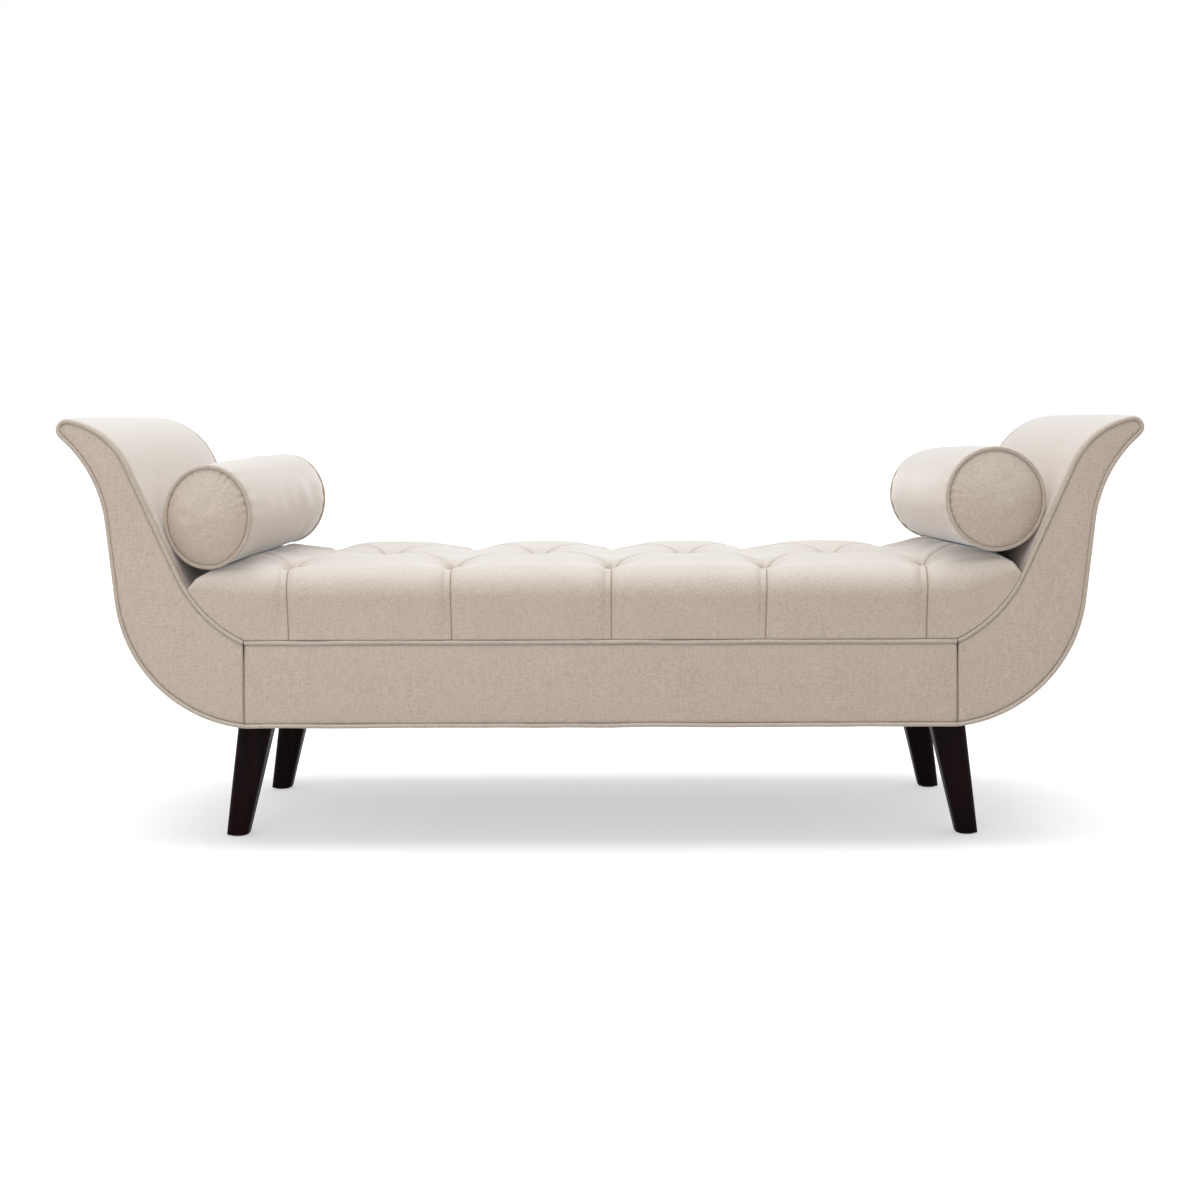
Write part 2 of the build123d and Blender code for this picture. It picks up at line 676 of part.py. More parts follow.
# Bolsters: a filling in a sewn sleeve, with a crowned cap and a welt at each end
for side in outward:
    middle_plane = bolster_plane(side)
    half_width = bolster_width[side] / 2
    half_tall = bolster_tallness / 2
    ring_plane = middle_plane.offset(bolster_length / 2 - welt_radius)
    sleeve_end = bolster_length / 2 - welt_diameter - fit_gap
    fill_inset = bolster_welt_proud + bolster_cover_thickness
    cap_inset = welt_diameter + fit_gap

    with BuildPart() as bolster_sleeve:
        with BuildSketch(middle_plane):
            Ellipse(half_width - bolster_welt_proud, half_tall - bolster_welt_proud)
            Ellipse(half_width - fill_inset, half_tall - fill_inset, mode=Mode.SUBTRACT)
        extrude(amount=sleeve_end, both=True)
    save(bolster_sleeve.part, f"{side}_bolster_sleeve")

    with BuildPart() as bolster_fill:
        with BuildSketch(middle_plane):
            Ellipse(half_width - fill_inset - fit_gap, half_tall - fill_inset - fit_gap)
        extrude(amount=sleeve_end, both=True)
    save(bolster_fill.part, f"{side}_bolster_fill")

    with BuildPart() as bolster_caps:
        with BuildSketch(ring_plane):
            Ellipse(half_width - cap_inset, half_tall - cap_inset)
        extrude(amount=-welt_radius)
        for share in bolster_cap_rings:
            with BuildSketch(ring_plane.offset(bolster_cap_crown * (1 - share**2))):
                Ellipse((half_width - cap_inset) * share, (half_tall - cap_inset) * share)
        loft()
        mirror(about=middle_plane)
    save(bolster_caps.part, f"{side}_bolster_caps")

    with BuildSketch(ring_plane) as ring:
        Ellipse(half_width - welt_radius, half_tall - welt_radius)
    with BuildPart() as bolster_welts:
        add(round_bar(ring.sketch.face().outer_wire(), welt_radius))
        mirror(about=middle_plane)
    save(bolster_welts.part, f"{side}_bolster_welts")

# Legs: tapered rounded squares that lean outwards along the bench, on nylon glides
foot_x = seam_x + leg_splay
for side, out in outward.items():
    for row, forward in {"front": -1, "rear": 1}.items():
        with BuildPart() as leg:
            with BuildSketch(Plane.XY.offset(glide_thickness)):
                with Locations((out * foot_x, forward * leg_y)):
                    RectangleRounded(leg_foot_width, leg_foot_width, leg_foot_rounding)
            with BuildSketch(Plane.XY.offset(base_height)):
                with Locations((out * seam_x, forward * leg_y)):
                    RectangleRounded(leg_top_width, leg_top_width, leg_top_rounding)
            loft()
            with Locations((out * seam_x, forward * leg_y, base_height)):
                Hole(bolt_radius + bolt_fit, depth=bolt_in_leg)
            with Locations((out * foot_x, forward * leg_y, glide_thickness)):
                Cylinder(
                    glide_nail_radius + bolt_fit,
                    glide_nail_length,
                    align=(Align.CENTER, Align.CENTER, Align.MIN),
                    mode=Mode.SUBTRACT,
                )
        save(leg.part, f"{side}_{row}_leg")

with BuildPart() as leg_glides:
    with Locations([(x, y, 0) for x in (-foot_x, foot_x) for y in (-leg_y, leg_y)]):
        Cylinder(glide_radius, glide_thickness, align=(Align.CENTER, Align.CENTER, Align.MIN))
        Cylinder(
            glide_nail_radius,
            glide_thickness + glide_nail_length,
            align=(Align.CENTER, Align.CENTER, Align.MIN),
        )
save(leg_glides.part, "leg_glides")

bolt_places = [(x, y) for x in (-seam_x, seam_x) for y in (-leg_y, leg_y)]
with BuildPart() as leg_bolts:
    with Locations([(x, y, base_height - bolt_in_leg) for x, y in bolt_places]):
        Cylinder(bolt_radius, bolt_in_leg + bolt_in_block, align=(Align.CENTER, Align.CENTER, Align.MIN))
save(leg_bolts.part, "leg_bolts")

with BuildPart() as leg_tee_nuts:
    with Locations([(x, y, rail_bottom + block_height) for x, y in bolt_places]):
        Cylinder(tee_flange_radius, tee_flange_thickness, align=(Align.CENTER, Align.CENTER, Align.MIN))
        Cylinder(tee_barrel_radius, tee_barrel_length, align=(Align.CENTER, Align.CENTER, Align.MAX))
        Hole(bolt_radius + bolt_fit)
save(leg_tee_nuts.part, "leg_tee_nuts")
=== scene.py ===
import json
from collections import namedtuple
from math import asin, atan2, ceil, cos, hypot, pi, radians, sin, tan

import bmesh
import bpy
import numpy as np
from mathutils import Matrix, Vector


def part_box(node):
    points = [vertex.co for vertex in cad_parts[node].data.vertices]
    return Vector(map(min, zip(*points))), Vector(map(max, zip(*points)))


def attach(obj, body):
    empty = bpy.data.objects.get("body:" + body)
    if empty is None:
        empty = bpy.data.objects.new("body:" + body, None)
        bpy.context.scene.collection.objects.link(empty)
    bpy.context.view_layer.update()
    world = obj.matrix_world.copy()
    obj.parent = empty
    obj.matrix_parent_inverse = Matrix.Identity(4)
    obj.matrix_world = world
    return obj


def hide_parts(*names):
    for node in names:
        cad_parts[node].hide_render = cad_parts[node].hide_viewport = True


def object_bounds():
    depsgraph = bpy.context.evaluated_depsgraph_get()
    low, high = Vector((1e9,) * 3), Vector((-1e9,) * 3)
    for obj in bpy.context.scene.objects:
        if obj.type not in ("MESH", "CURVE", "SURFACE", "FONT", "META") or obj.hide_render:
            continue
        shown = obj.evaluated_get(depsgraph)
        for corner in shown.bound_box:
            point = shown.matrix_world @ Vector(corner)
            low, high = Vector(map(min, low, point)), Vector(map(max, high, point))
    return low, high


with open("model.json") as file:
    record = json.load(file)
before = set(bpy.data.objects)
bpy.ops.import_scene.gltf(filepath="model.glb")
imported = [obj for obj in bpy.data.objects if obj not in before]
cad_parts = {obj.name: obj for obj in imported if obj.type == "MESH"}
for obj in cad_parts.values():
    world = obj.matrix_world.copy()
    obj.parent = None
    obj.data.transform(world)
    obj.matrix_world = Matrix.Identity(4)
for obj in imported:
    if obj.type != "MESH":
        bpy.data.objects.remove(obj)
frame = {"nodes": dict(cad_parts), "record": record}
cad_bounds = [[float(value) for value in corner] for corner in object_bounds()]

# Looks of the upholstered settee bench, in metres. X runs along the bench and -Y is its front.

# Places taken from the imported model
half_length, half_depth, _ = cad_bounds[1]
apron_low, apron_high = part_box("front_apron")
seam_x = apron_high.x
frame_y = -apron_high.y
base_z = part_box("front_hem_welt")[0].z
rim_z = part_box("front_rim_welt")[1].z
arm_top_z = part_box("right_arm_front_welt")[1].z
welt_radius = (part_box("front_hem_welt")[1].z - base_z) / 2
panel_y = -apron_low.y  # front of the apron and of the facings
bottom_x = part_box("dust_cover")[1].x

# Arm section seen from the front: corners before rounding, then the rounding
belly_in = 0.1065
belly_up = 0.017
flare_in = 0.063
flare_down = 0.084
shoulder_in = 0.081
shoulder_down = 0.015
hollow_out = 0.066
hollow_up = 0.033
nose_radius = 0.016
arm_radii = [0.215, 0.200, nose_radius, 0.120, 0.205]
seam_run = 0.056

# Facings and aprons
panel_edge = 1.5 * welt_radius  # from the outside of the welt in to the edge of the panel
panel_tuck = 0.0045  # edges of facings and aprons roll in behind the welts
panel_tuck_reach = 0.0022
panel_crown = 0.0012
panel_crown_reach = 0.02
panel_crease = 0.0016  # width of the painted shade line along the welts
seam_dip = 0.0016  # where facing and apron are sewn together
seam_dip_reach = 0.0018
# Width and strength of the painted shade in that seam
seam_crease = 0.0010
seam_shade = 0.8
backing_gap = 0.0002  # panels stay this far in front of the frame

# Inside pads and outside covers of the arms
pad_thickness = 0.017
pad_tip_thickness = 0.004
pad_thin_run = 0.02  # the pad is thin this far from the arm's tip
pad_taper_run = 0.09  # and then thickens over this length
pad_crown = 0.0022
cover_thickness = 0.005
cover_crown = 0.0012
strip_crown_reach = 0.05
strip_edge_dip = 0.0022
strip_end_dip = 0.0016
strip_dip_reach = 0.003
# Widths of the painted shade along the strips' edges and ends
strip_edge_crease = 0.0018
strip_end_crease = 0.0012
pucker_reach = 0.012
tuck_z = 0.405  # the seat's ends are tucked in against the arms at this height, where the arm pads get a band of painted shade
tuck_reach = 0.024
tuck_shade = 0.55

# Tufted seat
seat_crown = 0.4275
seat_lip_y = panel_y + 0.0012
seat_belly_y = half_depth - 0.0012
seat_belly_up = 0.007
seat_shoulder_drop = 0.014
seat_shoulder_radius = 0.046
seat_crown_radius = 1.5
seat_tip_height = 0.010  # the seat ends where it is this thin
seat_tip_radius = 0.011
seat_rows = 360
tuft_row_y = half_depth - 0.085
outer_tuft_xs = [-0.468, -0.2245, 0.016, 0.2485, 0.486]
middle_tuft_xs = [(a + b) / 2 for a, b in zip(outer_tuft_xs, outer_tuft_xs[1:])]
outer_pleat_run = 0.115  # pleats beyond the end tufts run this far along the bench
pleat_ends = [outer_tuft_xs[0] - outer_pleat_run, *middle_tuft_xs, outer_tuft_xs[-1] + outer_pleat_run]
tuft_depth = 0.018
pleat_depth = 0.0016
channel_depth = 0.0050
channel_end_depth = 0.0010
channel_floor = 0.009  # width of the flat fold beside each channel's seam
channel_floor_slope = 2.2  # how much steeper the cloth rises behind that fold
channel_lean = 0.025  # channels come this share nearer the middle of the bench on their way down
channel_lean_limit = 0.50  # channels further out than this stay upright
fold_sharpness = 4.0
pleat_lip = 0.0038  # the cloth behind a pleat laps over it by this much
pleat_lip_start = 0.010
pleat_lip_fade = 0.05
pleat_lip_width = 0.016
pleat_lip_edge = 0.0007
pleat_dark_run = 0.036  # the painted shade line of a pleat grows paler over this distance from a tuft
channel_dark_run = 9.0  # the painted shade lines of the channels stay dark all along
diamond_drop = 0.0060
diamond_slope = 0.6  # of the distance between the tuft rows
pillow_rise = 0.0050  # of the border between two channels
pillow_run = 0.08
pillow_t = 0.140
pillow_spread = 0.06
sag_spread = 0.045  # along the bench, of both sags below
middle_sag = 0.0060  # of the cloth round the tufts of the middle row
middle_sag_t = -0.035
middle_sag_spread = 0.085
rear_sag = 0.0080  # beside the rear channels
rear_sag_start = 0.02
rear_sag_end = 0.28
rear_sag_ease = 0.08
seat_unevenness = 0.0007
seat_lip_roll = 0.0008
# Heights of the seat's top towards its ends, where it is pressed by the bolsters, as (distance, height)
right_end_heights = [
    (0.400, seat_crown),
    (0.500, 0.4325),
    (0.556, 0.4365),
    (0.596, 0.4320),
    (0.605, 0.4275),
    (0.6186, 0.4135),
    (0.625, 0.4020),
]
left_end_heights = [
    (0.400, seat_crown),
    (0.480, seat_crown),
    (0.535, 0.4255),
    (0.572, 0.4175),
    (0.592, 0.4070),
    (0.611, 0.3880),
]

# Tuft ties
tie_radius = 0.0011
tie_twist = 0.0004
tie_pitch = 0.012
tie_search = 0.006  # the lowest cloth within this distance is the bottom of the tuft
tie_clearance = 0.002

# Bolsters: sizes, how far the rear end is turned towards the middle and how far it is lower, in degrees
bolster_length = 0.496
bolster_ring_y = bolster_length / 2 - welt_radius  # middle of the welts, from the middle of the bolster
bolster_tallness = 0.156
bolster_width = {"left": 0.133, "right": 0.150}
bolster_turn = {"left": 2.6, "right": 0.8}
bolster_tilt = {"left": -0.6, "right": 1.6}
outward = {"left": -1, "right": 1}
sleeve_inset = 0.0022  # below the top of the welts
sleeve_draw = 0.0030  # further in beside the welts
sleeve_draw_reach = 0.005
sleeve_bulge = 0.0065
sleeve_front_fullness = 2.6  # the larger, the nearer to its end the sleeve stays full
sleeve_rear_fullness = 9.0
sleeve_dent = 0.0016
sleeve_end_gap = 0.0015
gather_depth = 0.0016
gather_reach = 0.030
# Where the cover is gathered most, as an angle from +X towards up
gather_angle = {"left": radians(48), "right": radians(212)}
gather_least = 0.25  # share of the gathers on the far side from there
gather_spread = 0.9
cap_dome = 0.0210
cap_sag = 0.0080  # the filling sinks, so the dome is fuller below
cap_edge_dip = 0.002
cap_edge_reach = 0.0024
cap_fold = 0.0017
cap_fold_reach = 0.012
cap_unevenness = 0.0014
cap_back = 0.004
# Width of the painted shade ring along the caps' edges
cap_crease = 0.0011
press_ease = 0.0012  # how softly the seat gives way at the edge of a bolster's print
press_gap = 0.0004

# Dust cover
dust_cloth_thickness = 0.0004
dust_cloth_slack = 0.0006


def unit(vectors):
    """Vectors with a length of 1."""
    return vectors / np.linalg.norm(vectors, axis=-1, keepdims=True)


def smooth(share):
    """Ease from 0 to 1."""
    share = np.clip(share, 0, 1)
    return share * share * (3 - 2 * share)


def fade(distance, reach):
    """1 at no distance, falling away over a reach."""
    return np.exp(-distance / reach)


def bell(distance, spread):
    """1 at no distance, falling away to both sides."""
    return np.exp(-((distance / spread) ** 2))


def distance_to(x, places):
    """Distance along the bench to the nearest of some places."""
    return np.min(np.abs(x[..., None] - np.array(places)), axis=-1)


def distances_along(path):
    """Distance of each point of a path from its first point, measured along the path."""
    steps = np.linalg.norm(np.diff(path, axis=0), axis=1)
    return np.concatenate([[0.0], np.cumsum(steps)])


def resample(path, count):
    """The same path with evenly spaced points."""
    along = distances_along(path)
    wanted = np.linspace(0, along[-1], count)
    return np.stack([np.interp(wanted, along, path[:, i]) for i in range(path.shape[1])], axis=1)


def right_normals(path):
    """Unit vectors to the right of a path in a plane."""
    heading = unit(np.gradient(path, axis=0))
    return np.stack([heading[:, 1], -heading[:, 0]], axis=1)


def fitted_radii(corners, radii):
    """Rounding radii, each limited by the straight sides that it has to fit between."""
    sides = [np.subtract(b, a) for a, b in zip(corners, corners[1:])]
    turns = [np.arccos(np.clip(unit(a) @ unit(b), -1, 1)) for a, b in zip(sides, sides[1:])]
    runs = [r * tan(turn / 2) for r, turn in zip(radii, turns)]
    share = [1.0] * len(runs)
    for i, side in enumerate(sides):
        ends = [k for k in (i - 1, i) if 0 <= k < len(runs)]
        room = 0.98 * np.linalg.norm(side) / max(sum(runs[k] for k in ends), 1e-9)
        for k in ends:
            share[k] = min(share[k], room)
    return [r * s for r, s in zip(radii, share)]


def rounded_path(corners, radii, step=0.001):
    """Points along an open outline with its corners rounded."""
    corners = [np.array(corner, float) for corner in corners]
    points = [corners[0]]
    fitted = fitted_radii(corners, radii)
    for before, corner, after, radius in zip(corners, corners[1:], corners[2:], fitted):
        into, out = unit(corner - before), unit(after - corner)
        turn = atan2(into[0] * out[1] - into[1] * out[0], into @ out)
        start = corner - into * radius * tan(abs(turn) / 2)
        centre = start + np.array([-into[1], into[0]]) * radius * np.sign(turn)
        spoke = start - centre
        for angle in np.linspace(0, turn, 2 + ceil(abs(turn) * radius / step)):
            turned = [
                spoke[0] * cos(angle) - spoke[1] * sin(angle),
                spoke[0] * sin(angle) + spoke[1] * cos(angle),
            ]
            points.append(centre + turned)
    points.append(corners[-1])
    return np.array(points)


def waves(values, seed, longest, count=5):
    """A smooth irregular ripple between about -1 and 1 along some values."""
    draw = np.random.default_rng(seed)
    total = np.zeros_like(values, dtype=float)
    for i in range(count):
        length = longest / (1 + 0.6 * i)
        total = total + np.sin(2 * pi * values / length + draw.uniform(0, 2 * pi)) / (1 + 0.5 * i)
    return total / 2.2


def around_waves(angles, seed, lowest, count=6):
    """A ripple round a circle, which closes on itself."""
    draw = np.random.default_rng(seed)
    total = np.zeros_like(angles, dtype=float)
    for i in range(count):
        ripple = np.sin((lowest + 2 * i) * angles + draw.uniform(0, 2 * pi))
        total = total + ripple * draw.uniform(0.4, 1)
    return total / 2.0


def through(points):
    """A smooth function through a few points, level beyond them."""
    xs, ys = np.array(points).T
    slopes = np.gradient(ys, xs)
    slopes[0] = 0

    def height(x):
        x = np.clip(x, xs[0], xs[-1])
        i = np.clip(np.searchsorted(xs, x) - 1, 0, len(xs) - 2)
        run = xs[i + 1] - xs[i]
        t = (x - xs[i]) / run
        rise = (2 * t**3 - 3 * t**2 + 1) * ys[i] + (3 * t**2 - 2 * t**3) * ys[i + 1]
        return rise + ((t**3 - 2 * t**2 + t) * slopes[i] + (t**3 - t**2) * slopes[i + 1]) * run

    return height


def crossing(point_a, along_a, point_b, along_b):
    """Where two lines in a plane cross."""
    spread = along_a[0] * along_b[1] - along_a[1] * along_b[0]
    gap = point_b - point_a
    return point_a + along_a * ((gap[0] * along_b[1] - gap[1] * along_b[0]) / spread)


def arm_outline():
    """The right arm's outline as (x, z): from the seam below up to the tip, then down inside to the rim."""
    under_seam = np.array([seam_x, base_z])
    belly = np.array([half_length - belly_in, base_z + belly_up])
    flare = np.array([half_length - flare_in, arm_top_z - flare_down])
    shoulder = np.array([half_length - shoulder_in, arm_top_z - shoulder_down])
    hollow = np.array([seam_x + hollow_out, rim_z + hollow_up])
    rim_seam = np.array([seam_x, rim_z])
    nose = np.array([half_length - nose_radius, arm_top_z - nose_radius])
    below, above = nose - flare, nose - shoulder
    below_heading = atan2(below[1], below[0]) - asin(nose_radius / hypot(*below))
    above_heading = atan2(above[1], above[0]) + asin(nose_radius / hypot(*above))
    apex = crossing(
        flare,
        np.array([cos(below_heading), sin(below_heading)]),
        shoulder,
        np.array([cos(above_heading), sin(above_heading)]),
    )
    start = under_seam - unit(belly - under_seam) * seam_run
    end = rim_seam - unit(hollow - rim_seam) * seam_run
    path = rounded_path([start, belly, flare, apex, shoulder, hollow, end], arm_radii)
    path = resample(path, 1600)
    return path[path[:, 0] >= seam_x - 0.0005]


def inset(path, distance):
    """The arm's outline moved into the arm."""
    return path - right_normals(path) * distance


def halves(path):
    """The outline's outer and inner halves, parted at the tip of the arm."""
    tip = int(np.argmax(path[:, 0]))
    return path[: tip + 1], path[tip:]


arm_path = arm_outline()


# Meshes


def placed(name, data):
    """A new object in the scene."""
    obj = bpy.data.objects.new(name, data)
    bpy.context.scene.collection.objects.link(obj)
    return obj


def grid_faces(rows, cols, first=0, closed=False):
    """Quads of a grid of points, numbered row by row; closed joins the last column to the first."""
    steps = cols if closed else cols - 1
    row, col = np.meshgrid(np.arange(rows - 1), np.arange(steps), indexing="ij")
    here = first + row * cols + col
    beside = first + row * cols + (col + 1) % cols
    return np.stack([here, beside, beside + cols, here + cols], axis=-1).reshape(-1, 4).tolist()


def closed_panel(face, back):
    """Points and faces of a panel between a face grid and a back grid of the same shape."""
    rows, cols = face.shape[:2]
    count = rows * cols
    index = np.arange(count).reshape(rows, cols)
    edge = np.concatenate([index[0], index[1:, -1], index[-1, -2::-1], index[-2:0:-1, 0]])
    ahead = np.roll(edge, -1)
    walls = np.stack([edge, edge + count, ahead + count, ahead], axis=-1).tolist()
    points = np.concatenate([face.reshape(-1, 3), back.reshape(-1, 3)])
    return points, grid_faces(rows, cols) + grid_faces(rows, cols, count) + walls


def shell(face):
    """Points and faces of a grid closed below by strips between its first and last columns."""
    rows, cols = face.shape[:2]
    index = np.arange(rows * cols).reshape(rows, cols)
    below = np.stack([index[:-1, 0], index[1:, 0], index[1:, -1], index[:-1, -1]], axis=-1).tolist()
    ends = index[[0, -1]].tolist()
    return face.reshape(-1, 3), grid_faces(rows, cols) + below + ends


def tube(path, radii, y, sides=14, closed=False):
    """Points and faces of a round cord along a path in a plane of constant Y."""
    normals = right_normals(path)
    if closed:
        wrapped = np.concatenate([path[-2:], path, path[:2]])
        normals = right_normals(wrapped)[2:-2]
    angles = np.linspace(0, 2 * pi, sides, endpoint=False)
    across = path[:, None, :] + normals[:, None, :] * (radii[:, None] * np.cos(angles))[..., None]
    depth = y + radii[:, None] * np.sin(angles)
    points = np.stack([across[..., 0], depth, across[..., 1]], axis=-1).reshape(-1, 3)
    rows = len(path)
    faces = grid_faces(rows, sides, closed=True)
    if closed:
        last = (rows - 1) * sides
        faces += [[last + i, last + (i + 1) % sides, (i + 1) % sides, i] for i in range(sides)]
    else:
        faces += [list(range(sides)), list(range((rows - 1) * sides, rows * sides))]
    return points, faces


def joined(*parts):
    """Several sets of points and faces as one."""
    points, faces, first = [], [], 0
    for part_points, part_faces in parts:
        points.append(part_points)
        faces += [[first + i for i in face] for face in part_faces]
        first += len(part_points)
    return np.concatenate(points), faces


def piece(name, shape, marks, finish, body, nodes):
    """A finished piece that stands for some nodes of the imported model, with values marked on its points."""
    points, faces = shape
    mesh = bpy.data.meshes.new(name)
    mesh.from_pydata(points.tolist(), [], faces)
    for mark, given in marks.items():
        values = np.zeros(len(points), np.float32)
        flat = np.asarray(given, np.float32).ravel()
        values[: len(flat)] = flat
        mesh.attributes.new(mark, "FLOAT", "POINT").data.foreach_set("value", values)
    work = bmesh.new()
    work.from_mesh(mesh)
    bmesh.ops.remove_doubles(work, verts=work.verts, dist=1e-5)
    bmesh.ops.recalc_face_normals(work, faces=work.faces)
    work.to_mesh(mesh)
    work.free()
    mesh.shade_smooth()
    mesh.materials.append(finish)
    obj = placed(name, mesh)
    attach(obj, body)
    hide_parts(*nodes)
    return obj


def mirrored(shape, x=1, y=1):
    """Points and faces turned over where x or y is -1."""
    points, faces = shape
    return points * np.array([x, y, 1]), faces


# Materials


def math_node(tree, operation, *values):
    """Result of an operation on sockets and numbers."""
    node = tree.nodes.new("ShaderNodeMath")
    node.operation = operation
    for socket, value in zip(node.inputs, values):
        if isinstance(value, (int, float)):
            socket.default_value = value
        else:
            tree.links.new(value, socket)
    return node.outputs[0]


class Shader:
    """A node material with a Principled surface."""

    def __init__(self, name, **constants):
        self.material = bpy.data.materials.new(name)
        self.material.use_nodes = True
        self.tree = self.material.node_tree
        self.surface = self.tree.nodes["Principled BSDF"]
        for socket, value in constants.items():
            self.surface.inputs[socket.replace("_", " ")].default_value = value
        self.place = self.add("ShaderNodeTexCoord").outputs["Object"]

    def add(self, kind, **settings):
        node = self.tree.nodes.new(kind)
        for key, value in settings.items():
            setattr(node, key, value)
        return node

    def link(self, source, target):
        self.tree.links.new(source, target)

    def noise(self, scale, detail=2.0):
        """Noise with its own scale along X, Y and Z, in cells per metre."""
        stretch = self.add("ShaderNodeMapping")
        stretch.inputs["Scale"].default_value = scale
        noise = self.add("ShaderNodeTexNoise")
        noise.inputs["Scale"].default_value = 1.0
        noise.inputs["Detail"].default_value = detail
        self.link(self.place, stretch.inputs["Vector"])
        self.link(stretch.outputs["Vector"], noise.inputs["Vector"])
        return noise.outputs["Fac"]

    def math(self, operation, a, b):
        return math_node(self.tree, operation, a, b)

    def weighted(self, *pairs):
        """Sum of values, each times its weight."""
        total = 0.0
        for value, weight in pairs:
            total = self.math("ADD", self.math("MULTIPLY", value, weight), total)
        return total

    def ramp(self, value, *stops):
        node = self.add("ShaderNodeValToRGB")
        elements = node.color_ramp.elements
        while len(elements) < len(stops):
            elements.new(1.0)
        for element, (position, colour) in zip(elements, stops):
            element.position = position
            element.color = (*colour, 1.0)
        self.link(value, node.inputs["Fac"])
        return node.outputs["Color"]

    def mix(self, factor, a, b):
        node = self.add("ShaderNodeMix", data_type="RGBA")
        self.link(factor, node.inputs["Factor"])
        self.link(a, node.inputs["A"])
        if isinstance(b, tuple):
            node.inputs["B"].default_value = (*b, 1.0)
        else:
            self.link(b, node.inputs["B"])
        return node.outputs["Result"]

    def mark(self, name):
        """A value marked on the mesh."""
        return self.add("ShaderNodeAttribute", attribute_name=name).outputs["Fac"]

    def line(self, name, width):
        """1 on the line where a marked distance passes through zero, and 0 from a width to each side."""
        away = self.math("ABSOLUTE", self.mark(name), 0.0)
        node = self.add("ShaderNodeMapRange", interpolation_type="SMOOTHSTEP")
        node.inputs["From Max"].default_value = width
        node.inputs["To Min"].default_value = 1.0
        node.inputs["To Max"].default_value = 0.0
        self.link(away, node.inputs["Value"])
        return node.outputs["Result"]

    def upward(self):
        """How far the surface faces up, from 0 to 1."""
        parts = self.add("ShaderNodeSeparateXYZ")
        self.link(self.add("ShaderNodeNewGeometry").outputs["Normal"], parts.inputs["Vector"])
        return self.math("MAXIMUM", parts.outputs["Z"], 0.0)

    def bump(self, height, strength, distance):
        node = self.add("ShaderNodeBump")
        node.inputs["Strength"].default_value = strength
        node.inputs["Distance"].default_value = distance
        self.link(height, node.inputs["Height"])
        self.link(node.outputs["Normal"], self.surface.inputs["Normal"])


# Tones of the cloth, as (level of the weave, share of the colour)
side_tones = ((0.39, 0.82), (0.50, 1.0), (0.61, 1.15))
top_tones = ((0.39, 0.88), (0.50, 1.0), (0.61, 1.08))
# Widths of the painted shade lines of the pleats and channels
pleat_width = 0.0022
channel_width = 0.0020


def toned(colour, tones):
    return [(level, np.multiply(colour, share)) for level, share in tones]


def linen(name, base, top, seam, tufted=False):
    """Slubby linen: threads along X, Y and Z, soft mottling, a painted paler tone where it faces up standing
    in for the light from above, and painted shade where it is drawn in.
    """
    shader = Shader(
        name,
        Roughness=0.6,
        Sheen_Weight=1.0,
        Sheen_Roughness=0.35,
        Sheen_Tint=(1.0, 1.0, 1.0, 1.0),
        Specular_IOR_Level=0.4,
    )
    speckle = shader.noise((560, 560, 560), 3.0)
    long_x = shader.noise((130, 560, 560))
    long_y = shader.noise((560, 130, 560))
    long_z = shader.noise((560, 560, 70))
    mottle = shader.noise((18, 18, 9), 3.0)
    thread = shader.weighted((speckle, 0.31), (long_x, 0.28), (long_y, 0.14), (long_z, 0.22))
    tone = shader.math("ADD", thread, shader.math("MULTIPLY", mottle, 0.05))
    sides = shader.ramp(tone, *toned(base, side_tones))
    tops = shader.ramp(tone, *toned(top, top_tones))
    # Painted light: the cloth turns to the paler top colour as it faces up, standing in for the light from
    # above
    cloth = shader.mix(shader.upward(), sides, tops)
    # Painted shade: the cloth darkens towards the shade colour where the crease mark is high and along the
    # lines of pleats and channels
    painted_shade = shader.mark("crease")
    if tufted:
        # Painted shade lines along the pleats and channels
        for mark, width in {"pleat": pleat_width, "channel": channel_width}.items():
            dark = shader.math("MULTIPLY", shader.line(mark, width), shader.mark(f"{mark}_strength"))
            painted_shade = shader.math("MAXIMUM", painted_shade, dark)
    shader.link(shader.mix(painted_shade, cloth, seam), shader.surface.inputs["Base Color"])
    shader.bump(thread, 0.30, 0.0006)
    return shader.material


def streaked(name, dark, light, scale, roughness, metallic=0.0, specular=0.5):
    """A rigid finish with streaks, such as timber, brushed steel or twine."""
    shader = Shader(name, Metallic=metallic, Specular_IOR_Level=specular)
    grain = shader.noise(scale, 4.0)
    broad = shader.noise(tuple(0.2 * value for value in scale), 2.0)
    tone = shader.weighted((grain, 0.6), (broad, 0.4))
    shader.link(shader.ramp(tone, (0.35, dark), (0.65, light)), shader.surface.inputs["Base Color"])
    rough = shader.math("ADD", shader.math("MULTIPLY", tone, 0.16), roughness - 0.08)
    shader.link(rough, shader.surface.inputs["Roughness"])
    shader.bump(grain, 0.12, 0.0004)
    return shader.material


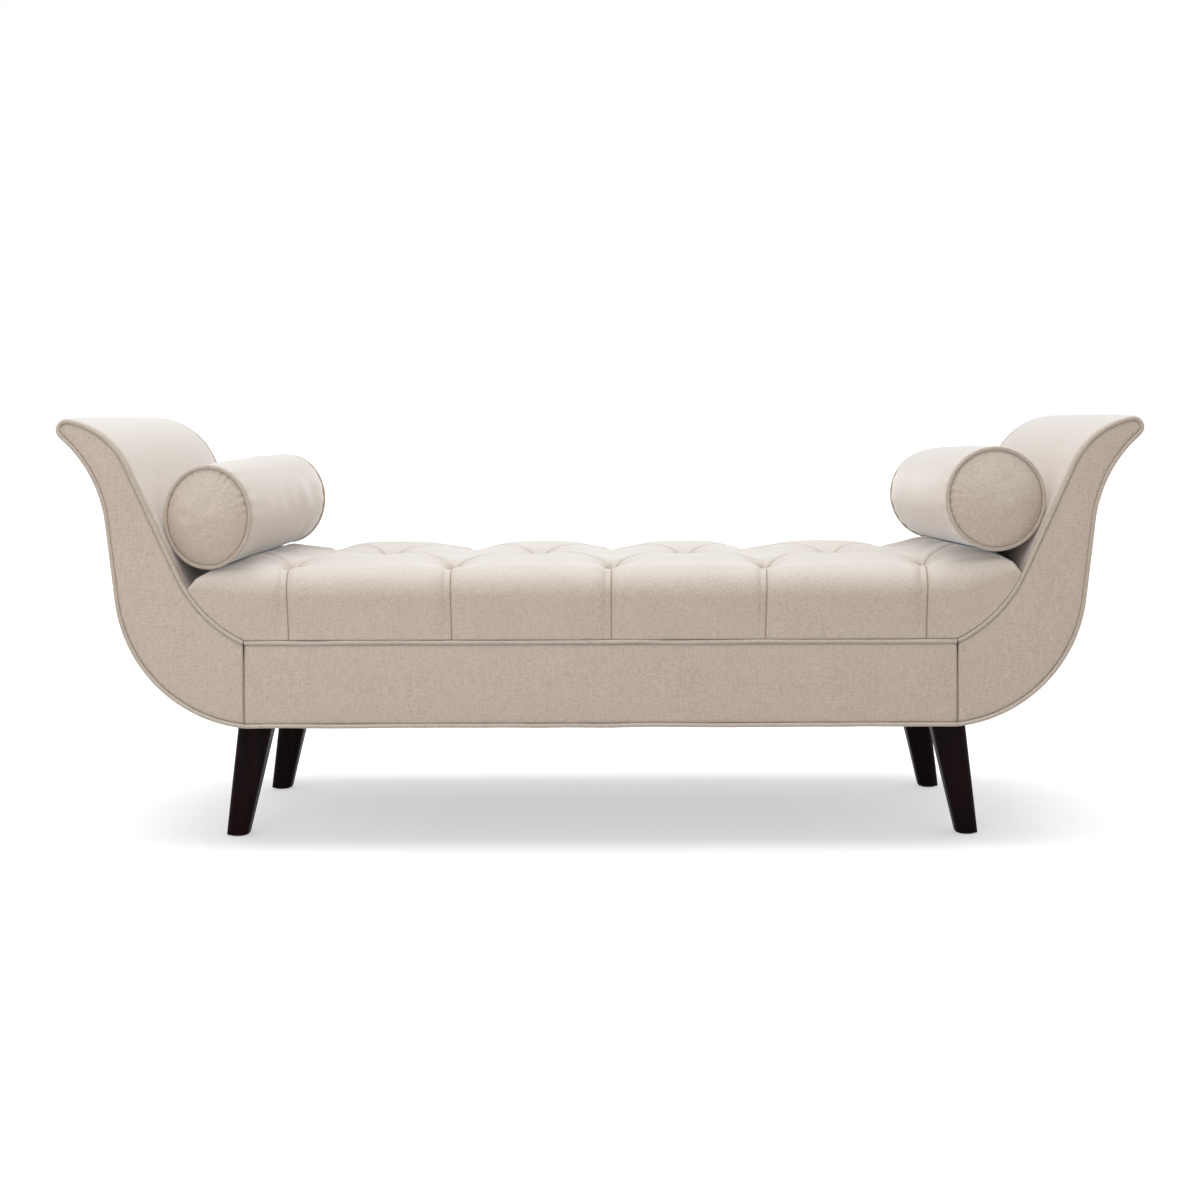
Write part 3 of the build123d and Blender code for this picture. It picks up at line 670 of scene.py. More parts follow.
linen_colour = (0.535, 0.444, 0.364)
painted_top_light_colour = (0.600, 0.550, 0.497)  # painted light: paler and greyer where the cloth faces up, standing in for the light from above
# Painted shade: the colour that creases, seams, pleats and channels are darkened towards
crease_shade_colour = (0.25, 0.18, 0.13)
piping_share = 0.94  # the welts are a little darker
# Welt colours: the side colour and the painted top light colour, each a little darker
piping_colours = [
    tuple(piping_share * value for value in colour) for colour in (linen_colour, painted_top_light_colour)
]
linen_cloth = linen("linen_cloth", linen_colour, painted_top_light_colour, crease_shade_colour)
tufted_cloth = linen("tufted_linen", linen_colour, painted_top_light_colour, crease_shade_colour, tufted=True)
linen_piping = linen("linen_piping", *piping_colours, crease_shade_colour)
finish_of_slot = {
    "leg_wood": streaked(
        "espresso_wood",
        (0.0052, 0.0018, 0.0020),
        (0.0115, 0.0046, 0.0047),
        (90, 90, 5),
        0.45,
        specular=0.05,
    ),
    "frame_timber": streaked("pine", (0.42, 0.27, 0.14), (0.62, 0.44, 0.26), (6, 90, 90), 0.65),
    "plywood": streaked("plywood", (0.38, 0.25, 0.14), (0.60, 0.44, 0.27), (8, 60, 220), 0.6),
    "steel": streaked(
        "zinc_steel", (0.45, 0.45, 0.46), (0.62, 0.62, 0.63), (220, 220, 30), 0.38, metallic=1.0
    ),
    "twine": streaked("waxed_twine", (0.36, 0.28, 0.19), (0.55, 0.45, 0.33), (500, 500, 900), 0.8),
    "nylon": streaked("nylon", (0.02, 0.02, 0.021), (0.04, 0.04, 0.042), (160, 160, 160), 0.45),
}
cambric_finish = streaked(
    "black_cambric", (0.012, 0.012, 0.013), (0.030, 0.030, 0.032), (600, 600, 600), 0.9
)


# Arms


def cloth_piece(name, shape, crease, body, nodes):
    return piece(name, shape, {"crease": crease}, linen_cloth, body, nodes)


def piping_piece(name, shape, crease, body, nodes):
    return piece(name, shape, {"crease": crease}, linen_piping, body, nodes)


def strip(path, thickness, crown, seed):
    """A padded strip along a path of the right arm, over its whole depth, with its painted crease shade."""
    grid = (len(path), 90)
    across = np.sin(np.linspace(-pi / 2, pi / 2, grid[1])) * frame_y
    normals = right_normals(path)
    along = distances_along(path)
    from_edge = frame_y - np.abs(across)
    from_end = np.minimum(along, along[-1] - along)
    swell = crown * (1 - fade(from_edge, strip_crown_reach))
    swell = swell - strip_edge_dip * fade(from_edge, strip_dip_reach)
    swell = swell[None, :] - strip_end_dip * fade(from_end, strip_dip_reach)[:, None]
    pucker = waves(along, seed, 0.05)[:, None] * fade(from_edge, pucker_reach)[None, :]
    swell = swell + 0.0003 * pucker
    outer = path[:, None, :] + normals[:, None, :] * swell[..., None]
    inner = path - normals * thickness[:, None]
    y = np.broadcast_to(across, grid)
    face = np.stack([outer[..., 0], y, outer[..., 1]], axis=-1)
    back = np.stack([np.broadcast_to(inner[:, :1], grid), y, np.broadcast_to(inner[:, 1:], grid)], axis=-1)
    # Painted shade along the strip's edges and ends, where it meets the welts
    edge_crease = fade(from_edge, strip_edge_crease)[None, :]
    end_crease = 0.7 * fade(from_end, strip_end_crease)[:, None]
    return closed_panel(face, back), np.maximum(edge_crease, end_crease)


def flat_panel(x, z, from_edge, from_seam, swell):
    """A padded panel between welts and sewn to the next one, with its painted crease shade; swell is its own
    form.
    """
    tuck = panel_tuck * fade(from_edge, panel_tuck_reach) + seam_dip * fade(from_seam, seam_dip_reach)
    depth = np.minimum(-panel_y - swell + tuck, -frame_y - backing_gap)
    face = np.stack([x, depth, z], axis=-1)
    back = np.stack([x, np.full_like(depth, -frame_y), z], axis=-1)
    # Painted shade along the welts and in the seam between facing and apron
    crease = np.maximum(fade(from_edge, panel_crease), seam_shade * fade(from_seam, seam_crease))
    return closed_panel(face, back), crease


def facing():
    """The right arm's front facing: a padded panel inside the welt, with its painted crease shade."""
    rows, cols = 150, 44
    outer, inner = halves(inset(arm_path, panel_edge))
    outer = resample(outer, rows)
    inner = resample(inner, rows)[::-1]
    share = (1 - np.cos(np.linspace(0, pi, cols))) / 2
    across = outer[:, None, :] * (1 - share)[None, :, None] + inner[:, None, :] * share[None, :, None]
    width = np.linalg.norm(outer - inner, axis=1)
    from_edge = np.minimum(share, 1 - share)[None, :] * width[:, None]
    from_seam = np.maximum(across[..., 0] - seam_x, 0)
    along = np.linspace(0, 1, rows)
    crown = panel_crown * (1 - fade(from_edge, panel_crown_reach))
    crown = crown * (1 - fade(from_seam, panel_crown_reach))
    pucker = 0.00025 * waves(along, 11, 0.06)[:, None] * fade(from_edge, pucker_reach)
    return flat_panel(across[..., 0], across[..., 1], from_edge, from_seam, crown - pucker)


def welt_cord(path, y, seed, closed=False):
    """A piped welt, a little uneven in thickness, with painted shade where it meets the panels."""
    along = distances_along(path)
    radii = welt_radius * (0.97 + 0.025 * waves(along, seed, 0.045))
    sides = 14
    shape = tube(path, radii, y, sides, closed)
    # Painted shade on the sides of the cord that turn in toward the panels
    toward_panel = np.abs(np.cos(np.linspace(0, 2 * pi, sides, endpoint=False)))
    crease = np.tile(0.40 * toward_panel**8, len(path))
    return shape, crease


def build_arms():
    outer, inner = halves(arm_path)
    inner = resample(inner, 190)
    outer = outer[outer[:, 0] > bottom_x + 0.0005]
    outer = resample(outer, 210)
    taper = np.clip((distances_along(inner) - pad_thin_run) / pad_taper_run, 0, 1)
    pad_depth = pad_tip_thickness + (pad_thickness - pad_tip_thickness) * taper
    cover_depth = np.full(len(outer), cover_thickness)
    pad_shape, pad_crease = strip(inner, pad_depth, pad_crown, 21)
    # Painted shade: a dark band on the arm pads where the seat's ends tuck in, standing in for the shadow in
    # that hollow
    pad_crease = np.maximum(pad_crease, tuck_shade * bell(inner[:, 1] - tuck_z, tuck_reach)[:, None])
    cover_shape, cover_crease = strip(outer, cover_depth, cover_crown, 22)
    facing_shape, facing_crease = facing()
    welt_path = resample(inset(arm_path, welt_radius), 420)
    strips = {"inside_pad": (pad_shape, pad_crease, 0.8), "outside_cover": (cover_shape, cover_crease, 1.0)}
    for side, x in {"right": 1, "left": -1}.items():
        for part, (shape, crease, fill) in strips.items():
            node = f"{side}_arm_{part}"
            cloth_piece(f"{side}_{part}", mirrored(shape, x), crease, "bench", [node])
        for end, y in {"front": 1, "rear": -1}.items():
            node = f"{side}_arm_{end}_facing"
            shape = mirrored(facing_shape, x, y)
            cloth_piece(f"{side}_{end}_facing", shape, facing_crease, "bench", [node])
            node = f"{side}_arm_{end}_welt"
            shape, crease = welt_cord(welt_path, -half_depth + welt_radius, 30 + x + 2 * y)
            piping_piece(f"{side}_{end}_welt", mirrored(shape, x, y), crease, "bench", [node])


# Aprons


def build_aprons():
    cols, rows = 420, 60
    x = np.linspace(-seam_x, seam_x, cols)[None, :]
    share = (1 - np.cos(np.linspace(0, pi, rows)))[:, None] / 2
    low, high = base_z + panel_edge, rim_z - panel_edge
    z = low + (high - low) * share + 0 * x
    from_edge = np.minimum(z - low, high - z)
    from_seam = seam_x - np.abs(x)
    crown = panel_crown * (1 - fade(from_edge, panel_crown_reach))
    run = np.linspace(-seam_x, seam_x, 520)
    free = 1 - fade(seam_x - np.abs(run), 0.05)  # the welts are straight at their ends
    welts = {"rim": (rim_z - welt_radius, 167), "hem": (base_z + welt_radius, 157)}
    for end, y in {"front": 1, "rear": -1}.items():
        ripple = 0.0004 * waves(x + 0.3 * z, 41 + y, 0.21)
        pucker = 0.0003 * waves(x, 44 + y, 0.05) * fade(from_edge, 0.01)
        shape, crease = flat_panel(x + 0 * z, z, from_edge, from_seam, crown - ripple - pucker)
        cloth_piece(f"{end}_apron_panel", mirrored(shape, 1, y), crease, "bench", [f"{end}_apron"])
        for level, (welt_z, seed) in welts.items():
            sway = 0.0006 * waves(run, seed + y, 0.30)
            path = np.stack([run, welt_z + sway * free], axis=1)
            shape, crease = welt_cord(path, -half_depth + welt_radius, 60 + y)
            node = f"{end}_{level}_welt"
            piping_piece(f"{end}_{level}_piping", mirrored(shape, 1, y), crease, "bench", [node])


# Seat


def bolster_axes(side):
    """Middle of a bolster, and its directions across, to the rear along its length, and up."""
    low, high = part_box(f"{side}_bolster_sleeve")
    turn = outward[side] * radians(bolster_turn[side])
    tilt = radians(bolster_tilt[side])
    across = np.array([cos(turn), sin(turn), 0.0])
    rearward = np.array([-sin(turn) * cos(tilt), cos(turn) * cos(tilt), -sin(tilt)])
    return np.array((low + high) / 2), np.stack([across, rearward, np.cross(across, rearward)])


def in_bolster(side, points):
    """Points as distances across, along and up from the middle of a bolster."""
    middle, axes = bolster_axes(side)
    return np.moveaxis((points - middle) @ axes.T, -1, 0)


def from_bolster(side, across, along, up):
    """The same the other way round."""
    middle, axes = bolster_axes(side)
    return np.stack(np.broadcast_arrays(across, along, up), axis=-1) @ axes + middle


def pressed(points):
    """The seat's points, kept below the bolsters that lie on them."""
    points = points.copy()
    for side in outward:
        across, along, up = in_bolster(side, points)
        half_width, half_tall = bolster_width[side] / 2, bolster_tallness / 2
        share = np.clip(np.abs(across) / half_width, 0, 1)
        underside = -half_tall * np.sqrt(1 - share**2) - press_gap
        inside = (share < 1) & (np.abs(along) < bolster_length / 2)
        overlap = press_ease * np.logaddexp(0, (up - underside) / press_ease)
        points[..., 2] -= np.where(inside, overlap, 0)
    return points


def arm_floor(x):
    """Height of the arm's inside at a distance from the middle, and of the rim between the arms."""
    inner = halves(arm_path)[1][::-1]
    below_shoulder = inner[inner[:, 1] < arm_top_z - 0.1]
    return np.interp(x, below_shoulder[:, 0], below_shoulder[:, 1], left=rim_z) + 0.0003


def seat_column(bottom, top, rows):
    """The seat's section across the bench between two heights, as (y, z)."""
    share = (top - bottom) / (seat_crown - rim_z)
    belly = (seat_belly_y, bottom + seat_belly_up * share)
    shoulder = (seat_belly_y, top - seat_shoulder_drop * share)
    half = [(seat_lip_y, bottom), belly, shoulder]
    corners = [*[(-y, z) for y, z in half], (0, top), *reversed(half)]
    radii = [seat_belly_up * share, seat_shoulder_radius * share]
    return resample(rounded_path(corners, [*radii, seat_crown_radius, *reversed(radii)], 0.002), rows)


def seat_columns(first, last):
    """Places of the sections along the bench, closer together beside the channels and at the ends."""
    fine = np.linspace(first, last, 6000)
    from_tip = np.minimum(fine - first, last - fine)
    from_channel = distance_to(fine, outer_tuft_xs)
    density = 1 / 0.0020 + fade(from_channel, 0.006) / 0.0014 + fade(from_tip, 0.006) / 0.0008
    count = np.concatenate([[0.0], np.cumsum((density[1:] + density[:-1]) / 2 * np.diff(fine))])
    xs = np.interp(np.linspace(0, count[-1], int(count[-1])), count, fine)
    for x in outer_tuft_xs:
        xs[np.argmin(np.abs(xs - x))] = x
    return xs


Fold = namedtuple("Fold", "start end first_depth middle_depth last_depth run_out reach floor lip shade")


def pleats(tuft_t):
    """Folds of the diamonds on the spread-out seat, from the outer tufts to those of the middle row."""
    folds = []
    for i, x in enumerate(outer_tuft_xs):
        for row in (-1, 1):
            for turn, end in ((-1, pleat_ends[i]), (1, pleat_ends[i + 1])):
                far_depth = tuft_depth if end in middle_tuft_xs else 0.0
                # Strength of the pleat's painted shade line
                shade = 1.0 if row > 0 else 0.8 if turn > 0 else 0.35
                depths = (tuft_depth, pleat_depth, far_depth)
                start = (x, row * tuft_t)
                folds.append(Fold(start, (end, 0.0), *depths, 0.020, 0.015, 0.0, pleat_lip, shade))
    return folds


def channels(tuft_t, lip_t):
    """Sewn channels from the outer tufts down the front and the rear."""
    depths = (tuft_depth, channel_depth, channel_end_depth)
    return [
        Fold((x, row * tuft_t), (x, row * lip_t), *depths, 0.024, 0.012, channel_floor, 0.0, 1.0)
        for x in outer_tuft_xs
        for row in (-1, 1)
    ]


def drawn_along(x, t, folds, dark_run):
    """How far folds draw the seat in, how much their rear lips lift it, how near one is, and how dark its
    painted shade line is.
    """
    total, lift, shade = np.zeros_like(x), np.zeros_like(x), np.zeros_like(x)
    nearest = np.full_like(x, 1.0)
    for fold in folds:
        run = np.subtract(fold.end, fold.start)
        length = hypot(*run)
        away_x, away_t = x - fold.start[0], t - fold.start[1]
        share = np.clip((away_x * run[0] + away_t * run[1]) / length**2, 0, 1)
        away = np.hypot(away_x - share * run[0], away_t - share * run[1])
        from_tuft = np.minimum(share, 1 - share) * length
        at_start, at_end = (fade(part * length, fold.run_out) for part in (share, 1 - share))
        depth = fold.middle_depth
        depth = depth + (fold.first_depth - fold.middle_depth) * at_start
        depth = depth + (fold.last_depth - fold.middle_depth) * at_end
        reach = fold.reach * (1 + 0.5 * at_start + 0.5 * at_end)
        from_floor = away
        if fold.floor:
            from_floor = np.where(away_x < 0, channel_floor_slope * np.maximum(away - fold.floor, 0), away)
        total += (depth * fade(from_floor, reach)) ** fold_sharpness
        rearward = (away_t * run[0] - away_x * run[1]) / length * np.sign(run[0] if run[0] else 1)
        overlap = fold.lip * (1 - fade(from_tuft, pleat_lip_start))
        overlap = overlap * (0.3 + 0.7 * fade(from_tuft, pleat_lip_fade))
        edge = 1 / (1 + np.exp(-np.clip(rearward / pleat_lip_edge, -40, 40)))
        lift = np.maximum(lift, overlap * edge * fade(away, pleat_lip_width))
        dark = fold.shade * np.clip(depth / (0.2 * fold.middle_depth), 0, 1) * fade(from_tuft, dark_run)
        shade = np.where(away < nearest, dark, shade)
        nearest = np.minimum(nearest, away)
    return total, lift, nearest, shade


def seat_top(x):
    """Height of the seat's top along the bench."""
    right, left = through(right_end_heights), through(left_end_heights)
    return np.where(x > 0, right(np.abs(x)), left(np.abs(x)))


def seat_tips():
    """Where the seat's ends run out between its top and the arms."""
    probe = np.linspace(0.45, 0.64, 4000)
    ends = [np.argmax(seat_top(side * probe) - arm_floor(probe) < seat_tip_height) for side in (-1, 1)]
    return [side * probe[end] for side, end in zip((-1, 1), ends)]


Seat = namedtuple("Seat", "points x t from_tip from_lip tuft_t lip_t")


def plain_seat():
    """The seat without its folds: points, and where each lies on the spread-out cloth as (x, t)."""
    tips = seat_tips()
    xs = seat_columns(*tips)
    floor = arm_floor(np.abs(xs))
    from_tip = np.minimum(xs - tips[0], tips[1] - xs)
    blunt = np.sqrt(np.clip(1 - (1 - np.clip(from_tip / seat_tip_radius, 0, 1)) ** 2, 0, 1))
    heights = floor + np.maximum((seat_top(xs) - floor) * blunt, 0.0002)
    columns = np.stack([seat_column(low, high, seat_rows) for low, high in zip(floor, heights)])
    steps = np.linalg.norm(np.diff(columns, axis=1), axis=2)
    along = np.concatenate([np.zeros((len(xs), 1)), np.cumsum(steps, axis=1)], axis=1)
    t = along - along[:, -1:] / 2
    from_lip = along[:, -1:] / 2 - np.abs(t)
    middle = len(xs) // 2
    rear = slice(seat_rows // 2, None)
    tuft_t = float(np.interp(tuft_row_y, columns[middle, rear, 0], t[middle, rear]))
    lip_t = float(t[middle, -1])
    x = np.repeat(xs[:, None], seat_rows, axis=1)
    inside = np.exp(-((np.abs(x) / channel_lean_limit) ** 24))
    lean = np.clip((np.abs(t) - tuft_t) / (lip_t - tuft_t), 0, 1) * inside
    points = np.stack([x - channel_lean * lean * x, columns[..., 0], columns[..., 1]], axis=-1)
    return Seat(points, x, t, from_tip[:, None], from_lip, tuft_t, lip_t)


def diamond_edge(x, tuft_t):
    """Where the zigzag of pleats runs on the spread-out cloth."""
    knots = sorted([*outer_tuft_xs, *pleat_ends])
    return np.interp(x, knots, [tuft_t if knot in outer_tuft_xs else 0.0 for knot in knots])


def sagging(seat, zigzag):
    """How far the cloth between the folds lies below the plain seat."""
    x, t = seat.x, seat.t
    from_channel = distance_to(x, outer_tuft_xs)
    from_middle = distance_to(x, middle_tuft_xs)
    diamond = diamond_drop * smooth((zigzag - np.abs(t)) / (diamond_slope * seat.tuft_t))
    pillow = pillow_rise * smooth(from_channel / pillow_run) * bell(np.abs(t) - pillow_t, pillow_spread)
    at_rear = smooth((t - rear_sag_start) / rear_sag_ease) * smooth((rear_sag_end - t) / rear_sag_ease)
    rear = rear_sag * bell(from_channel, sag_spread) * at_rear
    middle = middle_sag * bell(from_middle, sag_spread) * bell(t - middle_sag_t, middle_sag_spread)
    uneven = seat_unevenness * waves(x + 0.35 * t, 71, 0.19) * waves(t - 0.2 * x, 72, 0.23)
    return diamond - pillow + rear + middle - uneven


def build_seat():
    seat = plain_seat()
    x, t = seat.x, seat.t
    folded, lifted, pleat_gap, pleat_shade = drawn_along(x, t, pleats(seat.tuft_t), pleat_dark_run)
    sewn_folds = channels(seat.tuft_t, seat.lip_t)
    sewn, _, channel_gap, channel_shade = drawn_along(x, t, sewn_folds, channel_dark_run)
    zigzag = diamond_edge(x, seat.tuft_t)
    drawn = (folded + sewn) ** (1 / fold_sharpness) - lifted + sagging(seat, zigzag)
    drawn = drawn * (1 - fade(seat.from_tip, 0.02))
    drawn = drawn + seat_lip_roll * fade(seat.from_lip, 0.0015)
    along_x, along_t = (np.gradient(seat.points, axis=axis) for axis in (0, 1))
    outward_way = unit(np.cross(along_x, along_t) + 1e-12)
    top_sign = np.sign(outward_way[len(x) // 2, seat_rows // 2, 2])
    face = pressed(seat.points - outward_way * top_sign * drawn[..., None])

    # Marks: signed distances, so that a line between two points of the mesh stays where it is
    side_of_pleat = np.where(np.abs(t) < zigzag, 1, -1)
    side_of_channel = np.where(np.searchsorted(outer_tuft_xs, x) % 2 == 0, 1, -1)
    # Painted shade: soft darkening beside the pleats and channels, and a dark line at the seat's lip above
    # the rim welt
    soft_shade = 0.16 * fade(np.minimum(pleat_gap, channel_gap), 0.006)
    marks = {
        "crease": np.maximum(0.55 * fade(seat.from_lip, 0.0007), soft_shade),
        "pleat": side_of_pleat * pleat_gap,
        "pleat_strength": pleat_shade,
        "channel": side_of_channel * channel_gap,
        "channel_strength": channel_shade * (np.abs(t) > seat.tuft_t - 0.004),
    }
    nodes = ["seat_pad", "seat_foam"]
    piece("seat_cushion", shell(face), marks, tufted_cloth, "bench", nodes)
    build_ties(face.reshape(-1, 3))


def build_ties(seat_points):
    """Twine from the washers under the deck up to the bottom of each tuft."""
    low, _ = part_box("tuft_ties")
    outer_rows = [(x, row * tuft_row_y) for x in outer_tuft_xs for row in (-1, 1)]
    middle_row = [(x, 0.0) for x in middle_tuft_xs]
    cords = []
    for x, y in outer_rows + middle_row:
        near = np.hypot(seat_points[:, 0] - x, seat_points[:, 1] - y) < tie_search
        top = seat_points[near, 2].min() - tie_clearance
        heights = np.linspace(low.z, top, 30)
        twist = heights / tie_pitch * 2 * pi
        path = np.stack([x + tie_twist * np.cos(twist), heights], axis=1)
        cords.append(tube(path, np.full(len(path), tie_radius), y, 8))
    piece("tuft_twine", joined(*cords), {}, finish_of_slot["twine"], "bench", ["tuft_ties"])


# Bolsters


def disc_faces(rings, around):
    """Faces of a closed dome: its outside, its flat back and the wall between them."""
    count = rings * around
    outer = count - around
    walls = [
        [outer + i, outer + (i + 1) % around, count + outer + (i + 1) % around, count + outer + i]
        for i in range(around)
    ]
    return grid_faces(rings, around, closed=True) + grid_faces(rings, around, count, closed=True) + walls


def build_sleeve(side, seed, angles, gathered):
    """The bolster's sleeve, drawn in and gathered at the welts."""
    around, lengthwise = len(angles), 160
    half_width, half_tall = bolster_width[side] / 2, bolster_tallness / 2
    share = np.sin(np.linspace(-pi / 2, pi / 2, lengthwise))[:, None]
    y = share * (bolster_ring_y - sleeve_end_gap)
    from_end = bolster_ring_y - np.abs(y)
    gather = around_waves(angles, seed, 14)[None, :] * fade(from_end, gather_reach)
    free_side = 0.5 + 0.5 * np.cos(angles - (pi / 2 + outward[side] * 0.7))  # clear of seat and arm
    dent = waves(y + 0.05 * np.sin(angles)[None, :], seed + 1, 0.26)
    dent = dent * around_waves(angles, seed + 2, 2, 2)[None, :]
    fullness = np.where(share > 0, sleeve_rear_fullness, sleeve_front_fullness)
    bulge = sleeve_bulge * (1 - np.abs(share) ** fullness) * free_side**2
    inward = sleeve_inset + sleeve_draw * fade(from_end, sleeve_draw_reach) - bulge
    inward = inward + gather_depth * gather * gathered + sleeve_dent * dent * free_side
    across, up = (half_width - inward) * np.cos(angles), (half_tall - inward) * np.sin(angles)
    skin = from_bolster(side, across, y, up).reshape(-1, 3)
    faces = grid_faces(lengthwise, around, closed=True)
    faces += [list(range(around)), list(range((lengthwise - 1) * around, lengthwise * around))]
    # Painted shade: a dark line at the sleeve's ends beside the welts, fainter at the rear
    crease = fade(from_end - sleeve_end_gap, 0.0016) * np.where(share > 0, 0.3, 1.0)
    crease = np.repeat(crease, around, axis=1)
    nodes = [f"{side}_bolster_sleeve", f"{side}_bolster_fill"]
    cloth_piece(f"{side}_sleeve", (skin, faces), crease, f"{side}_bolster", nodes)


def build_caps(side, seed, angles, gathered):
    """The bolster's two caps, domed and eased in along their edge."""
    around, rings = len(angles), 46
    reach = np.sin(np.linspace(0, pi / 2, rings))[:, None]
    wide, tall = bolster_width[side] / 2 - panel_edge, bolster_tallness / 2 - panel_edge
    from_rim = (1 - reach) * wide
    dome = cap_dome * (1 - reach**2.0) - cap_edge_dip * fade(from_rim, cap_edge_reach)
    dome = dome - cap_sag * reach * np.sin(angles) * (1 - reach**2)
    across, up = wide * reach * np.cos(angles), tall * reach * np.sin(angles)
    caps, creases = [], []
    for end in (-1, 1):
        fold = around_waves(angles, seed + 5 + end, 26)[None, :] * fade(from_rim, cap_fold_reach) * gathered
        uneven = waves(reach * np.sin(angles), seed + 9 + end, 1.1)
        uneven = uneven * waves(reach * np.cos(angles), seed + 8 + end, 1.3)
        out = dome + cap_fold * fold * reach**2 + cap_unevenness * uneven * (1 - reach**4)
        face = from_bolster(side, across, end * (bolster_ring_y + out), up)
        back = from_bolster(side, across, np.full_like(across, end * (bolster_ring_y - cap_back)), up)
        points = np.concatenate([face.reshape(-1, 3), back.reshape(-1, 3)])
        caps.append((points, disc_faces(rings, around)))
        # Painted shade: a dark ring along the cap's edge beside the welt
        edge = np.repeat(0.8 * fade(from_rim, cap_crease), around, axis=1).ravel()
        creases += [edge, 0 * edge]
    nodes = [f"{side}_bolster_caps"]
    cloth_piece(f"{side}_caps", joined(*caps), np.concatenate(creases), f"{side}_bolster", nodes)


def build_bolster_welts(side, seed):
    """The rings of piping between the sleeve and the caps."""
    angles = np.linspace(0, 2 * pi, 200, endpoint=False)
    wide, tall = bolster_width[side] / 2 - welt_radius, bolster_tallness / 2 - welt_radius
    ring = np.stack([wide * np.cos(angles), tall * np.sin(angles)], axis=1)
    welts = [welt_cord(ring, end * bolster_ring_y, seed + 7, closed=True) for end in (-1, 1)]
    points, faces = joined(*[shape for shape, _ in welts])
    crease = np.concatenate([crease for _, crease in welts])
    shape = (from_bolster(side, *points.T), faces)
    piping_piece(f"{side}_piping", shape, crease, f"{side}_bolster", [f"{side}_bolster_welts"])


def build_bolsters():
    angles = np.linspace(0, 2 * pi, 180, endpoint=False)
    for side, seed in {"left": 80, "right": 90}.items():
        from_most = np.angle(np.exp(1j * (angles - gather_angle[side])))
        gathered = gather_least + (1 - gather_least) * bell(from_most, gather_spread)
        build_sleeve(side, seed, angles, gathered)
        build_caps(side, seed, angles, gathered)
        build_bolster_welts(side, seed)


# Dust cover


def build_dust_cover():
    low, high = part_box("dust_cover")
    cols, rows = 160, 70
    x = np.linspace(low.x, high.x, cols)[None, :]
    y = np.linspace(low.y, high.y, rows)[:, None]
    slack = (1 - (x / high.x) ** 8) * (1 - (y / high.y) ** 8)
    outer = halves(arm_path)[0]
    rise = np.interp(np.abs(x), outer[:, 0], outer[:, 1], left=base_z) - base_z
    slack = dust_cloth_slack * slack * (0.5 + 0.5 * waves(x + 0.4 * y, 95, 0.3))
    z = high.z - dust_cloth_thickness + rise - slack
    face = np.stack([x + 0 * y, y + 0 * x, z], axis=-1)
    back = face + np.array([0, 0, dust_cloth_thickness])
    shape = closed_panel(face, back)
    cover = piece("dust_cloth", shape, {}, cambric_finish, "bench", ["dust_cover"])


build_arms()
build_aprons()
build_seat()
build_bolsters()
build_dust_cover()

# Finishes of the rigid nodes that stay
slot_of_node = {row["node"]: row["material_slot"] for row in frame["record"]["subparts"]}
for name, node in frame["nodes"].items():
    finish = finish_of_slot.get(slot_of_node.get(name))
    if finish is not None:
        node.data.materials.clear()
        node.data.materials.append(finish)

# Camera
camera_data = bpy.data.cameras.new("camera")
camera_data.sensor_width = 36.0
camera_data.lens = 51.09
camera_data.shift_x = -0.0227
camera_data.shift_y = -0.15
camera = placed("camera", camera_data)
camera.location = (0.040, -2.7675, 0.631)
camera.rotation_euler = (pi / 2, radians(0.17), 0.0)
bpy.context.scene.camera = camera


# Floor, backdrop and light
floor_reach = 40.0
floor_grey = 0.60
floor_glow = 0.485  # brings the lit floor up to white
studio_level = 0.76
studio_slope = 0.32


def seen_directly(tree):
    """1 for what the camera sees directly, in a mirror or through glass."""
    rays = tree.nodes.new("ShaderNodeLightPath")
    total = rays.outputs["Is Camera Ray"]
    for kind in ("Is Glossy Ray", "Is Transmission Ray"):
        total = math_node(tree, "MAXIMUM", total, rays.outputs[kind])
    return total


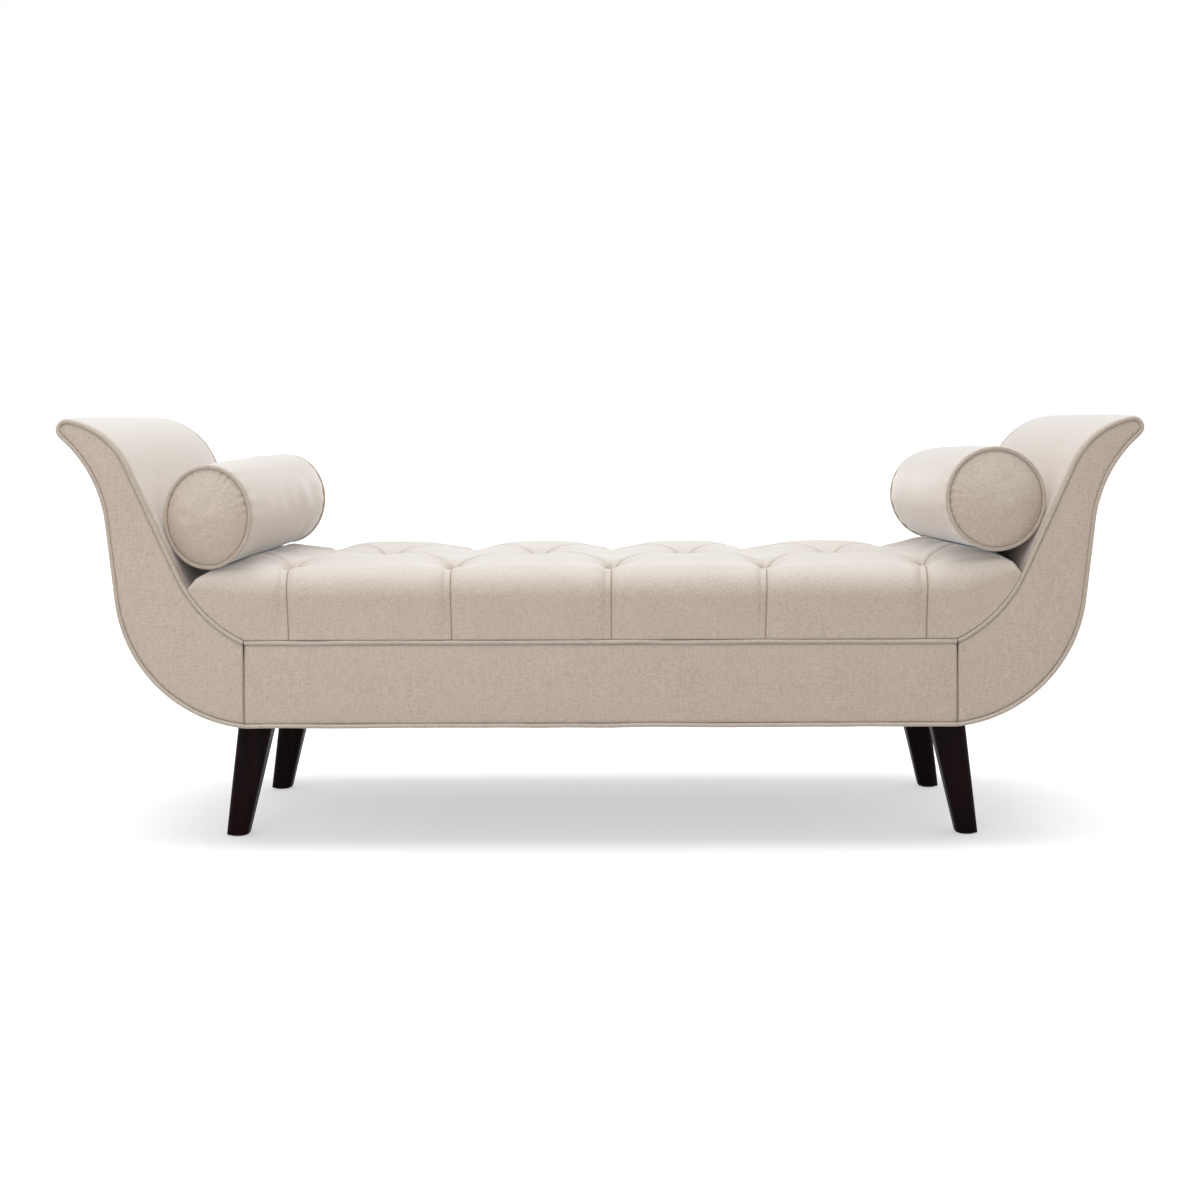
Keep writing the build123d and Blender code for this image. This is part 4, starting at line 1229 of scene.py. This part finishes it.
def build_floor():
    mesh = bpy.data.meshes.new("floor")
    corners = [(x * floor_reach, y * floor_reach, 0) for x, y in ((-1, -1), (1, -1), (1, 1), (-1, 1))]
    mesh.from_pydata(corners, [], [(0, 1, 2, 3)])
    shader = Shader(
        "floor_white",
        Base_Color=(floor_grey, floor_grey, floor_grey, 1.0),
        Roughness=1.0,
        Specular_IOR_Level=0.0,
        Emission_Color=(1.0, 1.0, 1.0, 1.0),
    )
    glow = math_node(shader.tree, "MULTIPLY", seen_directly(shader.tree), floor_glow)
    shader.link(glow, shader.surface.inputs["Emission Strength"])
    mesh.materials.append(shader.material)
    floor = placed("floor", mesh)


def build_world():
    """A white studio, brighter behind the bench than in front of it."""
    world = bpy.data.worlds.new("studio")
    bpy.context.scene.world = world
    world.use_nodes = True
    tree = world.node_tree
    background = tree.nodes["Background"]
    background.inputs["Color"].default_value = (1.0, 1.0, 1.0, 1.0)
    heading = tree.nodes.new("ShaderNodeSeparateXYZ")
    tree.links.new(tree.nodes.new("ShaderNodeTexCoord").outputs["Generated"], heading.inputs["Vector"])
    light = math_node(tree, "MULTIPLY_ADD", heading.outputs["Y"], studio_slope, studio_level)
    strength = tree.nodes.new("ShaderNodeMix")
    strength.data_type = "FLOAT"
    tree.links.new(light, strength.inputs["A"])
    strength.inputs["B"].default_value = 1.0
    tree.links.new(seen_directly(tree), strength.inputs["Factor"])
    tree.links.new(strength.outputs["Result"], background.inputs["Strength"])


build_floor()
build_world()

overhead = bpy.data.lights.new("overhead", "SUN")
overhead.angle = radians(41.0)
overhead.energy = 1.8
placed("overhead", overhead).rotation_euler = (radians(1.0), radians(-2.0), 0.0)

softbox = bpy.data.lights.new("left_front", "AREA")
softbox.size = 1.4
softbox.energy = 11.5
softbox_place = Vector((-1.15, -2.3, 1.2))
softbox_target = Vector((-0.2, 0.0, 0.35))
softbox_lamp = placed("left_front", softbox)
softbox_lamp.location = softbox_place
softbox_lamp.rotation_euler = (softbox_target - softbox_place).to_track_quat("-Z", "Y").to_euler()

bpy.context.scene.view_settings.view_transform = "Standard"
